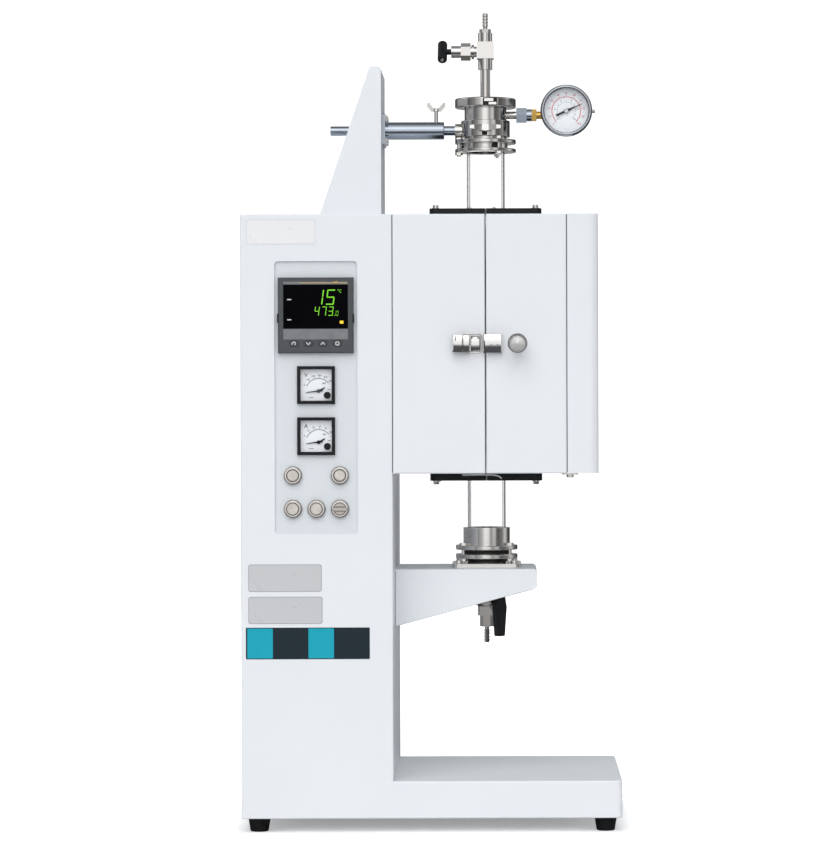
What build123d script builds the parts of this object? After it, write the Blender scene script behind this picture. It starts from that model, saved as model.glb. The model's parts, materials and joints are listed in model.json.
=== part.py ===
"""Vertical split-hinge tube furnace: control column, hinged heating chamber, quartz work tube,
gas fittings, and the brackets that carry the tube.  Millimetres, +Z up, the front faces -Y and
the origin is the centre of the footprint on the floor."""
from build123d import *
from math import cos, radians, sin
import os

os.makedirs("parts", exist_ok=True)

# ------------------------------------------------------------------ cabinet
overall_width = 484.0
cabinet_depth = 290.0
column_width = 193.0
column_top = 786.0
shelf_top = 330.4
arm_above_mast_foot = 117.0
arm_z = column_top + arm_above_mast_foot
base_top = 65.5
foot_height = 18.0
foot_top_radius = 14.5
foot_chamfer = 1.0
foot_bottom_radius = 11.5
foot_inset = 21.0
foot_depth_inset = 24.0
sheet = 1.5
edge_radius = 2.0
base_corner_radius = 8.0
bottom_plate_thickness = 2.0
bottom_plate_gap = 0.2
knob_reach = 30.0
gland_reach = 24.0

# ------------------------------------------------------------------ fits
fit_gap = 0.3
running_gap = 0.05

# ------------------------------------------------------------------ heating chamber
chamber_height = 330.0
fixed_half_width = 118.5
door_width = 103.2
side_cover_width = 40.3
side_corner_radius = 12.0
seam_gap = 1.5
tube_setback = 145.0
insulation_half_width = 78.0
insulation_depth = 86.0
heated_length = 236.0
end_cover_width = 145.0
end_cover_height = 11.0
end_cover_corner = 6.0
tube_clearance = 2.5

# ------------------------------------------------------------------ work tube and its ends
tube_radius = 25.0
tube_wall = 2.5
tube_above_shelf = 17.6
tube_above_arm = 2.0
tube_rim_round = 0.8
tube_bottom = shelf_top + tube_above_shelf
tube_top = arm_z + tube_above_arm

# ------------------------------------------------------------------ derived places
left = -overall_width / 2
right = left + overall_width
column_right = left + column_width
front = knob_reach - (cabinet_depth + knob_reach + gland_reach) / 2
rear = front + cabinet_depth
chamber_top = column_top
chamber_bottom = column_top - chamber_height
chamber_middle = chamber_bottom + chamber_height / 2
seam_x = column_right + fixed_half_width
door_right = seam_x + door_width
cover_right = door_right + side_cover_width
tube_x = seam_x
tube_y = front + tube_setback

UP = (0, 0, 1)
DOWN = (0, 0, -1)
TO_FRONT = (0, -1, 0)
TO_REAR = (0, 1, 0)
TO_LEFT = (-1, 0, 0)
TO_RIGHT = (1, 0, 0)
FROM_BASE = (Align.CENTER, Align.CENTER, Align.MIN)
past = 1.0  # how far a cutter runs past the face that it opens


# ------------------------------------------------------------------ shared shapes
def block(x0, x1, y0, y1, z0, z1):
    """A box between two opposite corners."""
    centre = Pos((x0 + x1) / 2, (y0 + y1) / 2, (z0 + z1) / 2)
    return centre * Box(x1 - x0, y1 - y0, z1 - z0)


def rounded_block(x0, x1, y0, y1, z0, z1, radius, axis=Axis.Z):
    """A box whose four edges along one axis are rounded."""
    body = block(x0, x1, y0, y1, z0, z1)
    return fillet(body.edges().filter_by(axis), radius)


def right_rounded_block(x0, x1, y0, y1, z0, z1, radius):
    """A box whose two upright edges at the right-hand end are rounded."""
    body = block(x0, x1, y0, y1, z0, z1)
    upright = body.edges().filter_by(Axis.Z).sort_by(Axis.X)[-2:]
    return fillet(upright, radius)


def rod(radius, start, direction, length):
    """A cylinder that starts at a point and runs along a direction."""
    return Plane(origin=start, z_dir=direction) * Cylinder(radius, length, align=FROM_BASE)


def ring(outer, inner, start, direction, length):
    """A round collar with a hole right through."""
    return rod(outer, start, direction, length) - rod(inner, start, direction, length)


def hexagon(across_flats, start, direction, length, turn=0.0):
    """A hexagonal length of bar, turned about its own axis."""
    outline = RegularPolygon(across_flats / 2, 6, major_radius=False, rotation=turn)
    return Plane(origin=start, z_dir=direction) * extrude(outline, length)


def turned(start, direction, *steps):
    """Coaxial cylinders end to end; each step is a radius and a length."""
    place = Plane(origin=start, z_dir=direction)
    body = Part()
    reach = 0.0
    for radius, length in steps:
        body += place * Pos(0, 0, reach) * Cylinder(radius, length, align=FROM_BASE)
        reach += length
    return body


def on_tube(height, x_offset=0.0, y_offset=0.0):
    """A point beside the work tube's axis at one height."""
    return (tube_x + x_offset, tube_y + y_offset, height)


def barb(start, direction, radius, bore, count, pitch, lead):
    """A hose tail: a row of backward-facing cones on a bored stem."""
    stem_radius = radius - 0.9
    length = lead + count * pitch
    place = Plane(origin=start, z_dir=direction)
    body = place * Cylinder(stem_radius, length, align=FROM_BASE)
    for step in range(count):
        tooth = Cone(radius, stem_radius, pitch, align=FROM_BASE)
        body += place * Pos(0, 0, lead + step * pitch) * tooth
    return body - place * Cylinder(bore, length, align=FROM_BASE)


# ------------------------------------------------------------------ control panel
panel_centre_x = left + 96.0
panel_width = 105.4
panel_bottom = 379.7
panel_top = 726.4
panel_corner_radius = 5.0
panel_recess = 3.5
panel_thickness = 2.0
panel_overlap = 8.0
panel_face = front + panel_recess
panel_back = panel_face + panel_thickness

controller_size = 96.0
controller_body = 91.5
controller_z = 657.5
controller_proud = 8.0
controller_depth = 66.0
bezel_chamfer = 1.2
window_width = 82.0
window_height = 55.5
window_rise = 11.0
window_thickness = 1.5
key_width = 12.0
key_height = 7.6
key_flat_end = 0.4
key_edge_chamfer = 0.4
key_spacing = 18.4
key_drop = 35.8
key_thickness = 3.0
key_proud = 0.8
key_travel = 0.8
key_gap = 0.2

meter_size = 48.0
meter_body = 44.0
meter_proud = 6.0
meter_depth = 34.0
meter_pocket = 40.0
meter_pocket_depth = 9.0
meter_window_thickness = 1.2
meter_dial_thickness = 0.8
meter_z = {"voltmeter": 569.0, "ammeter": 504.0}
meter_pivot_x = 3.0
meter_pivot_drop = 7.6
meter_needle_length = 16.5
meter_needle_width = 1.0
meter_needle_thickness = 0.5
meter_rest_angle = 188.0
needle_hub_radius = 2.4
needle_pin_radius = 0.6

button_radius = 11.3
button_bore = 7.4
button_proud = 6.0
button_body_radius = 10.8
button_body_depth = 32.0
button_bore_depth = 12.0
button_spacing = 29.85
lamp_row_z = 454.0
button_row_z = 411.6
cap_length = 7.0
cap_proud = 0.6
selector_bar_length = 20.0
selector_bar_width = 5.0
selector_bar_height = 6.0
cut_out_gap = 0.5


def instrument_x(column):
    """The centre of the left (-1), middle (0) or right (1) column of buttons."""
    return panel_centre_x + column * button_spacing


lamp_columns = (-1, 1)
button_columns = {"turn_off": -1, "turn_on": 0, "selector": 1}


# ------------------------------------------------------------------ cabinet
rear_flange = 14.0
wire_hole_radius = 12.0
thermocouple_radius = 3.0
thermocouple_gap = 0.4
connection_collar_length = 6.0
connection_collar_radius = 8.0
connection_head_length = 34.5
connection_head_depth = 24.0
connection_head_height = 30.0
connection_head_corner = 3.0
rear_cover_thickness = 1.2
rear_cover_corner = 3.0
rear_cover_overlap = 8.0
louvre_count = 7
louvre_pitch = 14.0
louvre_length = 60.0
louvre_radius = 4.0
louvre_wall = 1.2
louvre_groups = (150.0, 620.0)
gland_x = left + 150.0
gland_z = 105.0
gland_thread_radius = 10.0
gland_cable_bore = 4.5
gland_nut_across = 24.0
gland_nut_length = 5.0
gland_cap_across = 22.0
gland_dome_step = 1.5
gland_dome_round = 3.0
gland_cap_length = 9.0
gland_inside = 9.0
vent_slot_count = 6
vent_slot_pitch = 16.0
vent_slot_end_flat = 0.01
vent_slot_length = 60.0
vent_slot_width = 5.0


def foot_places():
    """The four corners where the feet stand."""
    for x in (left + foot_inset, right - foot_inset):
        for y in (front + foot_depth_inset, rear - foot_depth_inset):
            yield x, y


def panel_opening(y0, y1, grow=0.0):
    """The rounded opening of the control panel, or the same outline grown all round."""
    half = panel_width / 2 + grow
    low = panel_bottom - grow
    high = panel_top + grow
    radius = panel_corner_radius + grow
    return rounded_block(panel_centre_x - half, panel_centre_x + half, y0, y1, low, high, radius, Axis.Y)


def cabinet_shell():
    """Folded sheet column and foot, with an open rear, an open bottom and the panel's recess."""
    column = block(left, column_right, front, rear, foot_height, column_top)
    base = right_rounded_block(left, right, front, rear, foot_height, base_top, base_corner_radius)
    body = column + base
    outline = body.faces().sort_by(Axis.Y)[0].outer_wire().edges()
    body = fillet(outline, edge_radius)
    inner_front = front + sheet
    inner_rear = rear - sheet
    column_room = block(left + sheet, column_right - sheet, inner_front, inner_rear,
                        foot_height - past, column_top - sheet)
    base_room = right_rounded_block(left + sheet, right - sheet, inner_front, inner_rear,
                                    foot_height - past, base_top - sheet, base_corner_radius - sheet)
    body -= column_room + base_room
    body -= block(left + rear_flange, column_right - rear_flange, inner_rear - past, rear + past,
                  base_top, column_top - rear_flange)
    body += panel_opening(front + sheet, panel_face, sheet)
    body -= panel_opening(front - past, panel_face + past)
    for height in (chamber_middle, chamber_middle + chamber_height / 4):
        hole = wire_hole_radius
        if height == chamber_middle:
            hole = thermocouple_radius + thermocouple_gap
        body -= rod(hole, (column_right - sheet - past, tube_y, height), TO_RIGHT, sheet + 2 * past)
    return body


def bottom_plate():
    """Plate that closes the cabinet from below and carries the feet."""
    inset = sheet + bottom_plate_gap
    plate = right_rounded_block(left + inset, right - inset, front + inset, rear - inset, foot_height,
                                foot_height + bottom_plate_thickness, base_corner_radius - sheet)
    first = left + column_width / 2 - (vent_slot_count - 1) * vent_slot_pitch / 2
    for slot in range(vent_slot_count):
        x = first + slot * vent_slot_pitch
        plate -= rounded_block(x - vent_slot_width / 2, x + vent_slot_width / 2,
                               tube_y - vent_slot_length / 2, tube_y + vent_slot_length / 2,
                               foot_height - past, foot_height + bottom_plate_thickness + past,
                               vent_slot_width / 2 - vent_slot_end_flat)
    return plate


def rubber_feet():
    """Four tapered rubber feet."""
    feet = []
    for x, y in foot_places():
        foot = Pos(x, y, 0) * Cone(foot_bottom_radius, foot_top_radius, foot_height, align=FROM_BASE)
        feet.append(chamfer(foot.edges().sort_by(Axis.Z)[0], foot_chamfer))
    return Compound(children=feet)


def louvre(x, z):
    """One pressed hood on the rear cover, open along its lower side."""
    start = (x - louvre_length / 2, rear, z)
    hood = rod(louvre_radius, start, TO_RIGHT, louvre_length)
    hood -= block(x - louvre_length, x + louvre_length, rear - 2 * louvre_radius, rear,
                  z - louvre_radius, z + louvre_radius)
    return hood


def louvre_throat(x, z):
    """The air passage under one hood."""
    length = louvre_length - 2 * louvre_wall
    start = (x - length / 2, rear + rear_cover_thickness, z)
    throat = rod(louvre_radius - louvre_wall, start, TO_RIGHT, length)
    throat -= block(x - length, x + length, rear, rear + rear_cover_thickness + 2 * louvre_radius,
                    z + louvre_wall, z + 2 * louvre_radius)
    slot = block(x - length / 2, x + length / 2, rear - past, rear + rear_cover_thickness + past,
                 z - louvre_radius + louvre_wall, z + louvre_wall)
    return throat + slot


def rear_cover():
    """Screwed rear panel with two groups of pressed louvres and the cable gland's hole."""
    cover = block(left + rear_cover_overlap, column_right - rear_cover_overlap, rear,
                  rear + rear_cover_thickness, base_top - rear_cover_overlap,
                  column_top - rear_cover_overlap)
    cover = fillet(cover.edges().filter_by(Axis.Y), rear_cover_corner)
    for group in louvre_groups:
        for step in range(louvre_count):
            height = group + step * louvre_pitch
            cover += louvre(left + column_width / 2, height)
    for group in louvre_groups:
        for step in range(louvre_count):
            cover -= louvre_throat(left + column_width / 2, group + step * louvre_pitch)
    return cover - rod(gland_thread_radius + fit_gap, (gland_x, rear - past, gland_z), TO_REAR,
                       rear_cover_thickness + 2 * past)


def power_inlet():
    """Empty cable gland: dome nut and hexagon outside, lock nut inside the rear cover."""
    outside = rear + rear_cover_thickness
    reach = gland_reach - rear_cover_thickness
    dome = reach - gland_nut_length - gland_cap_length
    start = (gland_x, outside, gland_z)
    body = hexagon(gland_nut_across, start, TO_REAR, gland_nut_length)
    cap_start = (gland_x, outside + gland_nut_length, gland_z)
    body += hexagon(gland_cap_across, cap_start, TO_REAR, gland_cap_length)
    dome_start = (gland_x, outside + gland_nut_length + gland_cap_length, gland_z)
    dome_body = rod(gland_cap_across / 2 - gland_dome_step, dome_start, TO_REAR, dome)
    body += fillet(dome_body.edges().sort_by(Axis.Y)[-1], gland_dome_round)
    body += rod(gland_thread_radius, (gland_x, rear - gland_inside, gland_z), TO_REAR,
                gland_inside + rear_cover_thickness)
    lock_nut = hexagon(gland_nut_across, (gland_x, rear - gland_nut_length, gland_z), TO_REAR,
                       gland_nut_length)
    body += lock_nut
    return body - rod(gland_cable_bore, (gland_x, rear - gland_inside - past, gland_z), TO_REAR,
                      gland_inside + gland_reach + 2 * past)


# ------------------------------------------------------------------ power regulator inside the column
regulator_low = 200.0
regulator_height = 130.0
regulator_depth = 110.0
regulator_base = 5.0
regulator_fin = 26.0
regulator_fin_thickness = 2.0
regulator_fins = 9
regulator_module_height = 62.0
regulator_module_gap = 3.0
regulator_module_corner = 2.0
regulator_module_depth = 45.0
regulator_module_thickness = 30.0
regulator_rear_gap = 60.0


def power_regulator():
    """Thyristor module under its finned heat sink, on the column's left wall."""
    wall = left + sheet
    y1 = rear - regulator_rear_gap
    y0 = y1 - regulator_depth
    high = regulator_low + regulator_height
    sink = block(wall, wall + regulator_base, y0, y1, regulator_low - regulator_module_height, high)
    spacing = (regulator_depth - regulator_fin_thickness) / (regulator_fins - 1)
    for index in range(regulator_fins):
        y = y0 + index * spacing
        sink += block(wall, wall + regulator_base + regulator_fin, y, y + regulator_fin_thickness,
                      regulator_low, high)
    middle = (y0 + y1) / 2
    face = wall + regulator_base
    module = rounded_block(face, face + regulator_module_thickness,
                           middle - regulator_module_depth / 2, middle + regulator_module_depth / 2,
                           regulator_low - regulator_module_height + regulator_module_gap,
                           regulator_low - regulator_module_gap, regulator_module_corner, Axis.X)
    return Compound(children=[sink, module])


# ------------------------------------------------------------------ instruments on the panel
def square_block(x, z, size, y0, y1):
    """A square block centred on the panel at x and z."""
    half = size / 2
    return block(x - half, x + half, y0, y1, z - half, z + half)


def button_places():
    """Centres of all five 22 mm devices."""
    for column in lamp_columns:
        yield instrument_x(column), lamp_row_z
    for column in button_columns.values():
        yield instrument_x(column), button_row_z


def control_panel():
    """Flat panel behind the recess with the instruments' cut-outs."""
    plate = panel_opening(panel_face, panel_back, panel_overlap)
    through = (panel_face - past, panel_back + past)
    plate -= square_block(panel_centre_x, controller_z, controller_body + cut_out_gap, *through)
    for height in meter_z.values():
        plate -= square_block(panel_centre_x, height, meter_body + cut_out_gap, *through)
    for x, z in button_places():
        plate -= rod(button_body_radius + cut_out_gap / 2, (x, panel_face - past, z), TO_REAR,
                     panel_thickness + 2 * past)
    return plate


def key_outline(x, grow, y0, y1):
    """The rounded outline of one controller key, grown all round by a clearance."""
    z = controller_z - key_drop
    half_width = key_width / 2 + grow
    half_height = key_height / 2 + grow
    return rounded_block(x - half_width, x + half_width, y0, y1, z - half_height, z + half_height,
                         half_height - key_flat_end, Axis.Y)


def key_x(index):
    """The centre of one of the four keys, from left to right."""
    return panel_centre_x + (index - (len(key_names) - 1) / 2) * key_spacing


key_names = ("key_return", "key_down", "key_up", "key_menu")
controller_front = panel_face - controller_proud
key_pocket_depth = key_thickness - key_proud + key_travel + fit_gap


def controller_housing():
    """Controller's moulded bezel and body, pocketed for the window and the keys."""
    bezel = square_block(panel_centre_x, controller_z, controller_size, controller_front, panel_face)
    bezel = chamfer(bezel.faces().sort_by(Axis.Y)[0].edges(), bezel_chamfer)
    body = bezel + square_block(panel_centre_x, controller_z, controller_body, panel_face,
                                panel_face + controller_depth)
    body -= window_block(fit_gap / 2, controller_front - past,
                         controller_front + window_thickness + fit_gap)
    for index in range(len(key_names)):
        body -= key_outline(key_x(index), key_gap, controller_front - past,
                            controller_front + key_pocket_depth)
    return body


def window_block(grow, y0, y1):
    """The controller's window, grown all round by a clearance."""
    middle = controller_z + window_rise
    return block(panel_centre_x - window_width / 2 - grow, panel_centre_x + window_width / 2 + grow,
                 y0, y1, middle - window_height / 2 - grow, middle + window_height / 2 + grow)


def controller_window():
    """Dark window over the controller's display."""
    return window_block(0, controller_front + fit_gap, controller_front + window_thickness + fit_gap)


def controller_key(index):
    """One sprung key with a softened face."""
    face = controller_front - key_proud
    key = key_outline(key_x(index), 0, face, face + key_thickness)
    return chamfer(key.faces().sort_by(Axis.Y)[0].edges(), key_edge_chamfer)


meter_front = panel_face - meter_proud
dial_face = meter_front + meter_pocket_depth - meter_dial_thickness
needle_lift = 1.2
needle_back = dial_face - needle_lift
needle_tip_half = 0.2
meter_needle_tail = 5.0
meter_bezel_chamfer = 1.0
meter_window_inset = 0.6
needle_front = needle_back - meter_needle_thickness


def meter_cases():
    """Two square moving-coil meters: bezel, pocket and rear body."""
    cases = []
    for height in meter_z.values():
        bezel = square_block(panel_centre_x, height, meter_size, meter_front, panel_face)
        bezel = chamfer(bezel.faces().sort_by(Axis.Y)[0].edges(), meter_bezel_chamfer)
        case = bezel + square_block(panel_centre_x, height, meter_body, panel_face,
                                    panel_face + meter_depth)
        case -= square_block(panel_centre_x, height, meter_pocket, meter_front - past,
                             meter_front + meter_pocket_depth)
        cases.append(case)
    return Compound(children=cases)


def meter_dials():
    """The white dial plate at the bottom of each meter's pocket, with its pivot pin."""
    dials = []
    for height in meter_z.values():
        plate = square_block(panel_centre_x, height, meter_pocket - fit_gap, dial_face,
                             dial_face + meter_dial_thickness)
        pin_start = (panel_centre_x + meter_pivot_x, dial_face, height - meter_pivot_drop)
        pin_length = dial_face - needle_front + 0.5
        dials.append(plate + rod(needle_pin_radius, pin_start, TO_FRONT, pin_length))
    return Compound(children=dials)


def needle(pivot, direction_deg, length, tail, width, thickness, hub_radius, pin_radius):
    """A tapered pointer with its hub, lying in a plane that faces the front."""
    place = Plane(origin=pivot, x_dir=(cos(radians(direction_deg)), 0, sin(radians(direction_deg))),
                  z_dir=TO_FRONT)
    blade = Polygon((-tail, -width), (length, -needle_tip_half), (length, needle_tip_half),
                    (-tail, width), align=None)
    body = place * (extrude(blade, thickness) + Cylinder(hub_radius, thickness, align=FROM_BASE))
    return body - place * Pos(0, 0, -past) * Cylinder(pin_radius + running_gap,
                                                      thickness + 2 * past, align=FROM_BASE)


def meter_needle(name):
    """One meter's pointer at its rest."""
    pivot = (panel_centre_x + meter_pivot_x, needle_back, meter_z[name] - meter_pivot_drop)
    return needle(pivot, meter_rest_angle, meter_needle_length, meter_needle_tail,
                  meter_needle_width, meter_needle_thickness, needle_hub_radius, needle_pin_radius)


def meter_windows():
    """Clear covers set into the meters' bezels."""
    covers = []
    y = meter_front + meter_window_inset
    for height in meter_z.values():
        covers.append(square_block(panel_centre_x, height, meter_pocket - fit_gap, y,
                                   y + meter_window_thickness))
    return Compound(children=covers)


button_front = panel_face - button_proud
button_rim_round = 1.5
cap_radius = button_bore - 0.1
lens_round = 2.0
cap_round = 1.0
bar_edge_chamfer = 0.6
bar_end_flat = 0.3


def button_bodies():
    """Five identical round bodies: domed ring in front, contact block behind."""
    bodies = []
    for x, z in button_places():
        head = rod(button_radius, (x, button_front, z), TO_REAR, button_proud)
        head = fillet(head.edges().sort_by(Axis.Y)[0], button_rim_round)
        body = head + rod(button_body_radius, (x, panel_face, z), TO_REAR, button_body_depth)
        body -= rod(button_bore, (x, button_front - past, z), TO_REAR, button_bore_depth + past)
        bodies.append(body)
    return Compound(children=bodies)


def lamp_lenses():
    """Domed lenses that fill the two lamps' rings."""
    lenses = []
    for column in lamp_columns:
        start = (instrument_x(column), button_front - cap_proud, lamp_row_z)
        lens = rod(cap_radius, start, TO_REAR, button_bore_depth + cap_proud)
        lenses.append(fillet(lens.edges().sort_by(Axis.Y)[0], lens_round))
    return Compound(children=lenses)


def push_cap(name):
    """The cap of one push button."""
    x = instrument_x(button_columns[name])
    cap = rod(cap_radius, (x, button_front - cap_proud, button_row_z), TO_REAR, cap_length)
    return fillet(cap.edges().sort_by(Axis.Y)[0], cap_round)


def selector_knob():
    """Turning disc with a raised finger bar."""
    x = instrument_x(button_columns["selector"])
    disc_start = (x, button_front - cap_proud, button_row_z)
    knob = rod(cap_radius, disc_start, TO_REAR, button_bore_depth + cap_proud - fit_gap)
    bar = block(x - selector_bar_length / 2, x + selector_bar_length / 2,
                button_front - cap_proud - selector_bar_height, button_front - cap_proud,
                button_row_z - selector_bar_width / 2, button_row_z + selector_bar_width / 2)
    bar = fillet(bar.edges().filter_by(Axis.Y), selector_bar_width / 2 - bar_end_flat)
    return knob + chamfer(bar.faces().sort_by(Axis.Y)[0].edges(), bar_edge_chamfer)


# ------------------------------------------------------------------ heating chamber
shell_tube_gap = 6.0
coil_circle_radius = 39.0
coil_radius = 2.6
coil_slot_gap = 0.6
coil_link_step = 0.4
coil_rods = 6
coil_spread_angle = 150.0
heater_bore_radius = 38.0
insulation_gap = 0.3
wide = 400.0  # longer than the chamber is in any direction


def side_of_seam(side):
    """Everything on one side of the seam: -1 is the fixed half, 1 is the door."""
    inner = seam_x + side * seam_gap / 2
    outer = seam_x + side * wide
    return block(min(inner, outer), max(inner, outer), front - wide, rear + wide,
                 chamber_bottom - wide, chamber_top + wide)


def half_shell(x0, x1):
    """Sheet casing of one half, with rounded front edges."""
    body = block(x0, x1, front, rear, chamber_bottom, chamber_top)
    body = fillet(body.faces().sort_by(Axis.Y)[0].edges(), edge_radius)
    body -= block(x0 + sheet, x1 - sheet, front + sheet, rear - sheet, chamber_bottom + sheet,
                  chamber_top - sheet)
    body -= rod(tube_radius + shell_tube_gap, on_tube(chamber_bottom - past), UP,
                chamber_height + 2 * past)
    window = insulation_half_width + insulation_gap
    body -= block(seam_x - 2 * sheet - seam_gap, seam_x + 2 * sheet + seam_gap, tube_y - window,
                  tube_y + window, chamber_bottom + sheet, chamber_top - sheet)
    return body


def chamber_shell():
    """Fixed half of the chamber's casing, on the column's side."""
    body = half_shell(column_right, seam_x - seam_gap / 2)
    return body - thermocouple_hole()


def door_shell():
    """Hinged half of the chamber's casing."""
    return half_shell(seam_x + seam_gap / 2, door_right)


def thermocouple_hole():
    """The clear way for the thermocouple, from the column to the bore."""
    return rod(thermocouple_radius + thermocouple_gap, (column_right - past, tube_y, chamber_middle),
               TO_RIGHT, fixed_half_width)


def coil_angle(side, index):
    """The direction of one upright coil run, seen from above."""
    middle = 90.0 - side * 90.0
    return middle + (index / (coil_rods - 1) - 0.5) * coil_spread_angle


def coil_path(side, radius):
    """The winding of one half: upright runs joined in turn at the top and the bottom."""
    low = chamber_middle - heated_length / 2
    places = []
    for index in range(coil_rods):
        angle = radians(coil_angle(side, index))
        places.append(on_tube(low, coil_circle_radius * cos(angle), coil_circle_radius * sin(angle)))
    winding = Part()
    for x, y, z in places:
        winding += rod(radius, (x, y, z - radius), UP, heated_length + 2 * radius)
    for index in range(coil_rods - 1):
        x, y, z = places[index]
        next_x, next_y, z = places[index + 1]
        height = z if index % 2 else z + heated_length
        link = Vector(next_x - x, next_y - y, 0)
        winding += rod(radius - coil_link_step, (x, y, height), tuple(link.normalized()), link.length)
    return winding


def insulation(side):
    """Fibre block of one half: tube way at the ends, wider heated bore with the coil's slots."""
    face = seam_x + side * seam_gap / 2
    back = face + side * insulation_depth
    body = block(min(face, back), max(face, back), tube_y - insulation_half_width,
                 tube_y + insulation_half_width, chamber_bottom + sheet, chamber_top - sheet)
    body -= rod(tube_radius + tube_clearance, on_tube(chamber_bottom), UP, chamber_height)
    body -= rod(heater_bore_radius, on_tube(chamber_middle - heated_length / 2), UP, heated_length)
    body -= coil_path(side, coil_radius + coil_slot_gap)
    if side < 0:
        body -= thermocouple_hole()
    return body


def heater(side):
    """Resistance winding of one half, in the insulation's slots."""
    return coil_path(side, coil_radius)


def end_covers(side):
    """Shallow black covers of one half, above and below the chamber, notched for the tube."""
    half = end_cover_width / 2
    covers = []
    for low, inner_low in ((chamber_top, chamber_top), (chamber_bottom - end_cover_height,
                                                        chamber_bottom - end_cover_height + sheet)):
        pan = rounded_block(tube_x - half, tube_x + half, tube_y - half, tube_y + half, low,
                            low + end_cover_height, end_cover_corner)
        pan -= rounded_block(tube_x - half + sheet, tube_x + half - sheet, tube_y - half + sheet,
                             tube_y + half - sheet, inner_low, inner_low + end_cover_height - sheet,
                             end_cover_corner - sheet)
        pan -= rod(tube_radius + tube_clearance, on_tube(low - past), UP, end_cover_height + 2 * past)
        covers.append(pan & side_of_seam(side))
    return Compound(children=covers)


def door_side_cover():
    """Rounded outer cover of the door."""
    body = right_rounded_block(door_right, cover_right, front, rear, chamber_bottom, chamber_top,
                               side_corner_radius)
    left_edges = body.faces().sort_by(Axis.X)[0].edges().filter_by(Axis.Z)
    body = fillet(left_edges, edge_radius)
    return body - right_rounded_block(door_right - past, cover_right - sheet, front + sheet,
                                      rear - sheet, chamber_bottom + sheet, chamber_top - sheet,
                                      side_corner_radius - sheet)


def thermocouple():
    """Sheathed sensor through the fixed half, with its connection head in the column."""
    tip = seam_x - tube_radius - tube_clearance
    wall = column_right - sheet
    head_right = wall - connection_collar_length
    head_left = head_right - connection_head_length
    middle_x = (head_left + head_right) / 2
    body = rod(thermocouple_radius, (middle_x, tube_y, chamber_middle), TO_RIGHT, tip - middle_x)
    half_y = connection_head_depth / 2
    half_z = connection_head_height / 2
    head = rounded_block(head_left, head_right, tube_y - half_y, tube_y + half_y, chamber_middle - half_z,
                         chamber_middle + half_z, connection_head_corner, Axis.X)
    collar = rod(connection_collar_radius, (head_right, tube_y, chamber_middle), TO_RIGHT,
                 connection_collar_length)
    return body + head + collar


# ------------------------------------------------------------------ rear hinges
hinge_offset = 90.0
hinge_length = 60.0
hinge_leaf_width = 28.0
hinge_leaf_thickness = 2.0
knuckle_radius = 5.0
knuckle_gap = 0.4
hinge_pin_radius = 2.0
hinge_y = rear + knuckle_radius + knuckle_gap


def hinge_side(side, own, bore):
    """Leaves and knuckles of one side; own lists the thirds of the length that it holds."""
    third = hinge_length / 3
    leaves = []
    for centre in (chamber_middle - hinge_offset, chamber_middle + hinge_offset):
        low = centre - hinge_length / 2
        near = seam_x + side * (knuckle_radius + 2 * knuckle_gap)
        far = seam_x + side * (knuckle_radius + hinge_leaf_width)
        leaf = block(min(near, far), max(near, far), rear, rear + hinge_leaf_thickness, low,
                     low + hinge_length)
        for index in own:
            z0 = low + index * third + fit_gap / 2
            z1 = low + (index + 1) * third - fit_gap / 2
            leaf += block(min(near, seam_x), max(near, seam_x), rear, rear + hinge_leaf_thickness, z0, z1)
            leaf += rod(knuckle_radius, (seam_x, hinge_y, z0), UP, z1 - z0)
        if bore:
            leaf -= rod(bore, (seam_x, hinge_y, low - past), UP, hinge_length + 2 * past)
        else:
            leaf += rod(hinge_pin_radius, (seam_x, hinge_y, low), UP, hinge_length)
        leaves.append(leaf)
    return Compound(children=leaves)


def hinge_fixed_leaves():
    """Fixed leaves with their outer knuckles and pressed pins."""
    return hinge_side(-1, (0, 2), 0)


def hinge_door_leaves():
    """Door leaves with the middle knuckles that turn on the pins."""
    return hinge_side(1, (1,), hinge_pin_radius + running_gap)


# ------------------------------------------------------------------ knob and toggle latch
knob_from_seam = 40.5
knob_radius = 12.5
knob_stem_radius = 5.0
knob_stem_length = 11.0
knob_neck_radius = 8.0
knob_flare = 7.0
knob_rim = 7.0
knob_rim_step = 1.5
knob_tip_radius = 0.6
latch_pivot_x = seam_x - 23.0
latch_pivot_y = front - 7.0
latch_height = 22.4
latch_sheet = 1.2
latch_tail = 18.9
latch_toe = 3.0
latch_rise = 12.0
latch_foot_gap = 2.5
latch_bevel = 2.5
latch_ear_rise = 2.2
latch_ear_half = 2.6
latch_ear_round = 1.0
latch_base_left = 9.0
latch_base_right = 14.0
latch_pin_inset = 0.1
latch_pin_radius = 1.5
latch_ear_gap = 1.6
bail_radius = 0.9
bail_pivot_offset = 4.7
bail_reach = 22.8
bail_corner = 4.0
bail_bend_gap = 0.1
bail_side_gap = 0.2
keeper_nose = 3.1
keeper_width = 21.0
keeper_height = 24.0
keeper_rise = 8.5
keeper_undercut = 4.0


def door_knob():
    """Turned knob: stem, flare, rim and a shallow cone for a face."""
    x = seam_x + knob_from_seam
    body = rod(knob_stem_radius, (x, front, chamber_middle), TO_FRONT, knob_stem_length)
    place = Plane(origin=(x, front - knob_stem_length, chamber_middle), z_dir=TO_FRONT)
    body += place * Cone(knob_neck_radius, knob_radius, knob_flare, align=FROM_BASE)
    body += place * Pos(0, 0, knob_flare) * Cylinder(knob_radius, knob_rim, align=FROM_BASE)
    face = knob_reach - knob_stem_length - knob_flare - knob_rim
    cone = Cone(knob_radius - knob_rim_step, knob_tip_radius, face, align=FROM_BASE)
    return body + place * Pos(0, 0, knob_flare + knob_rim) * cone


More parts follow.
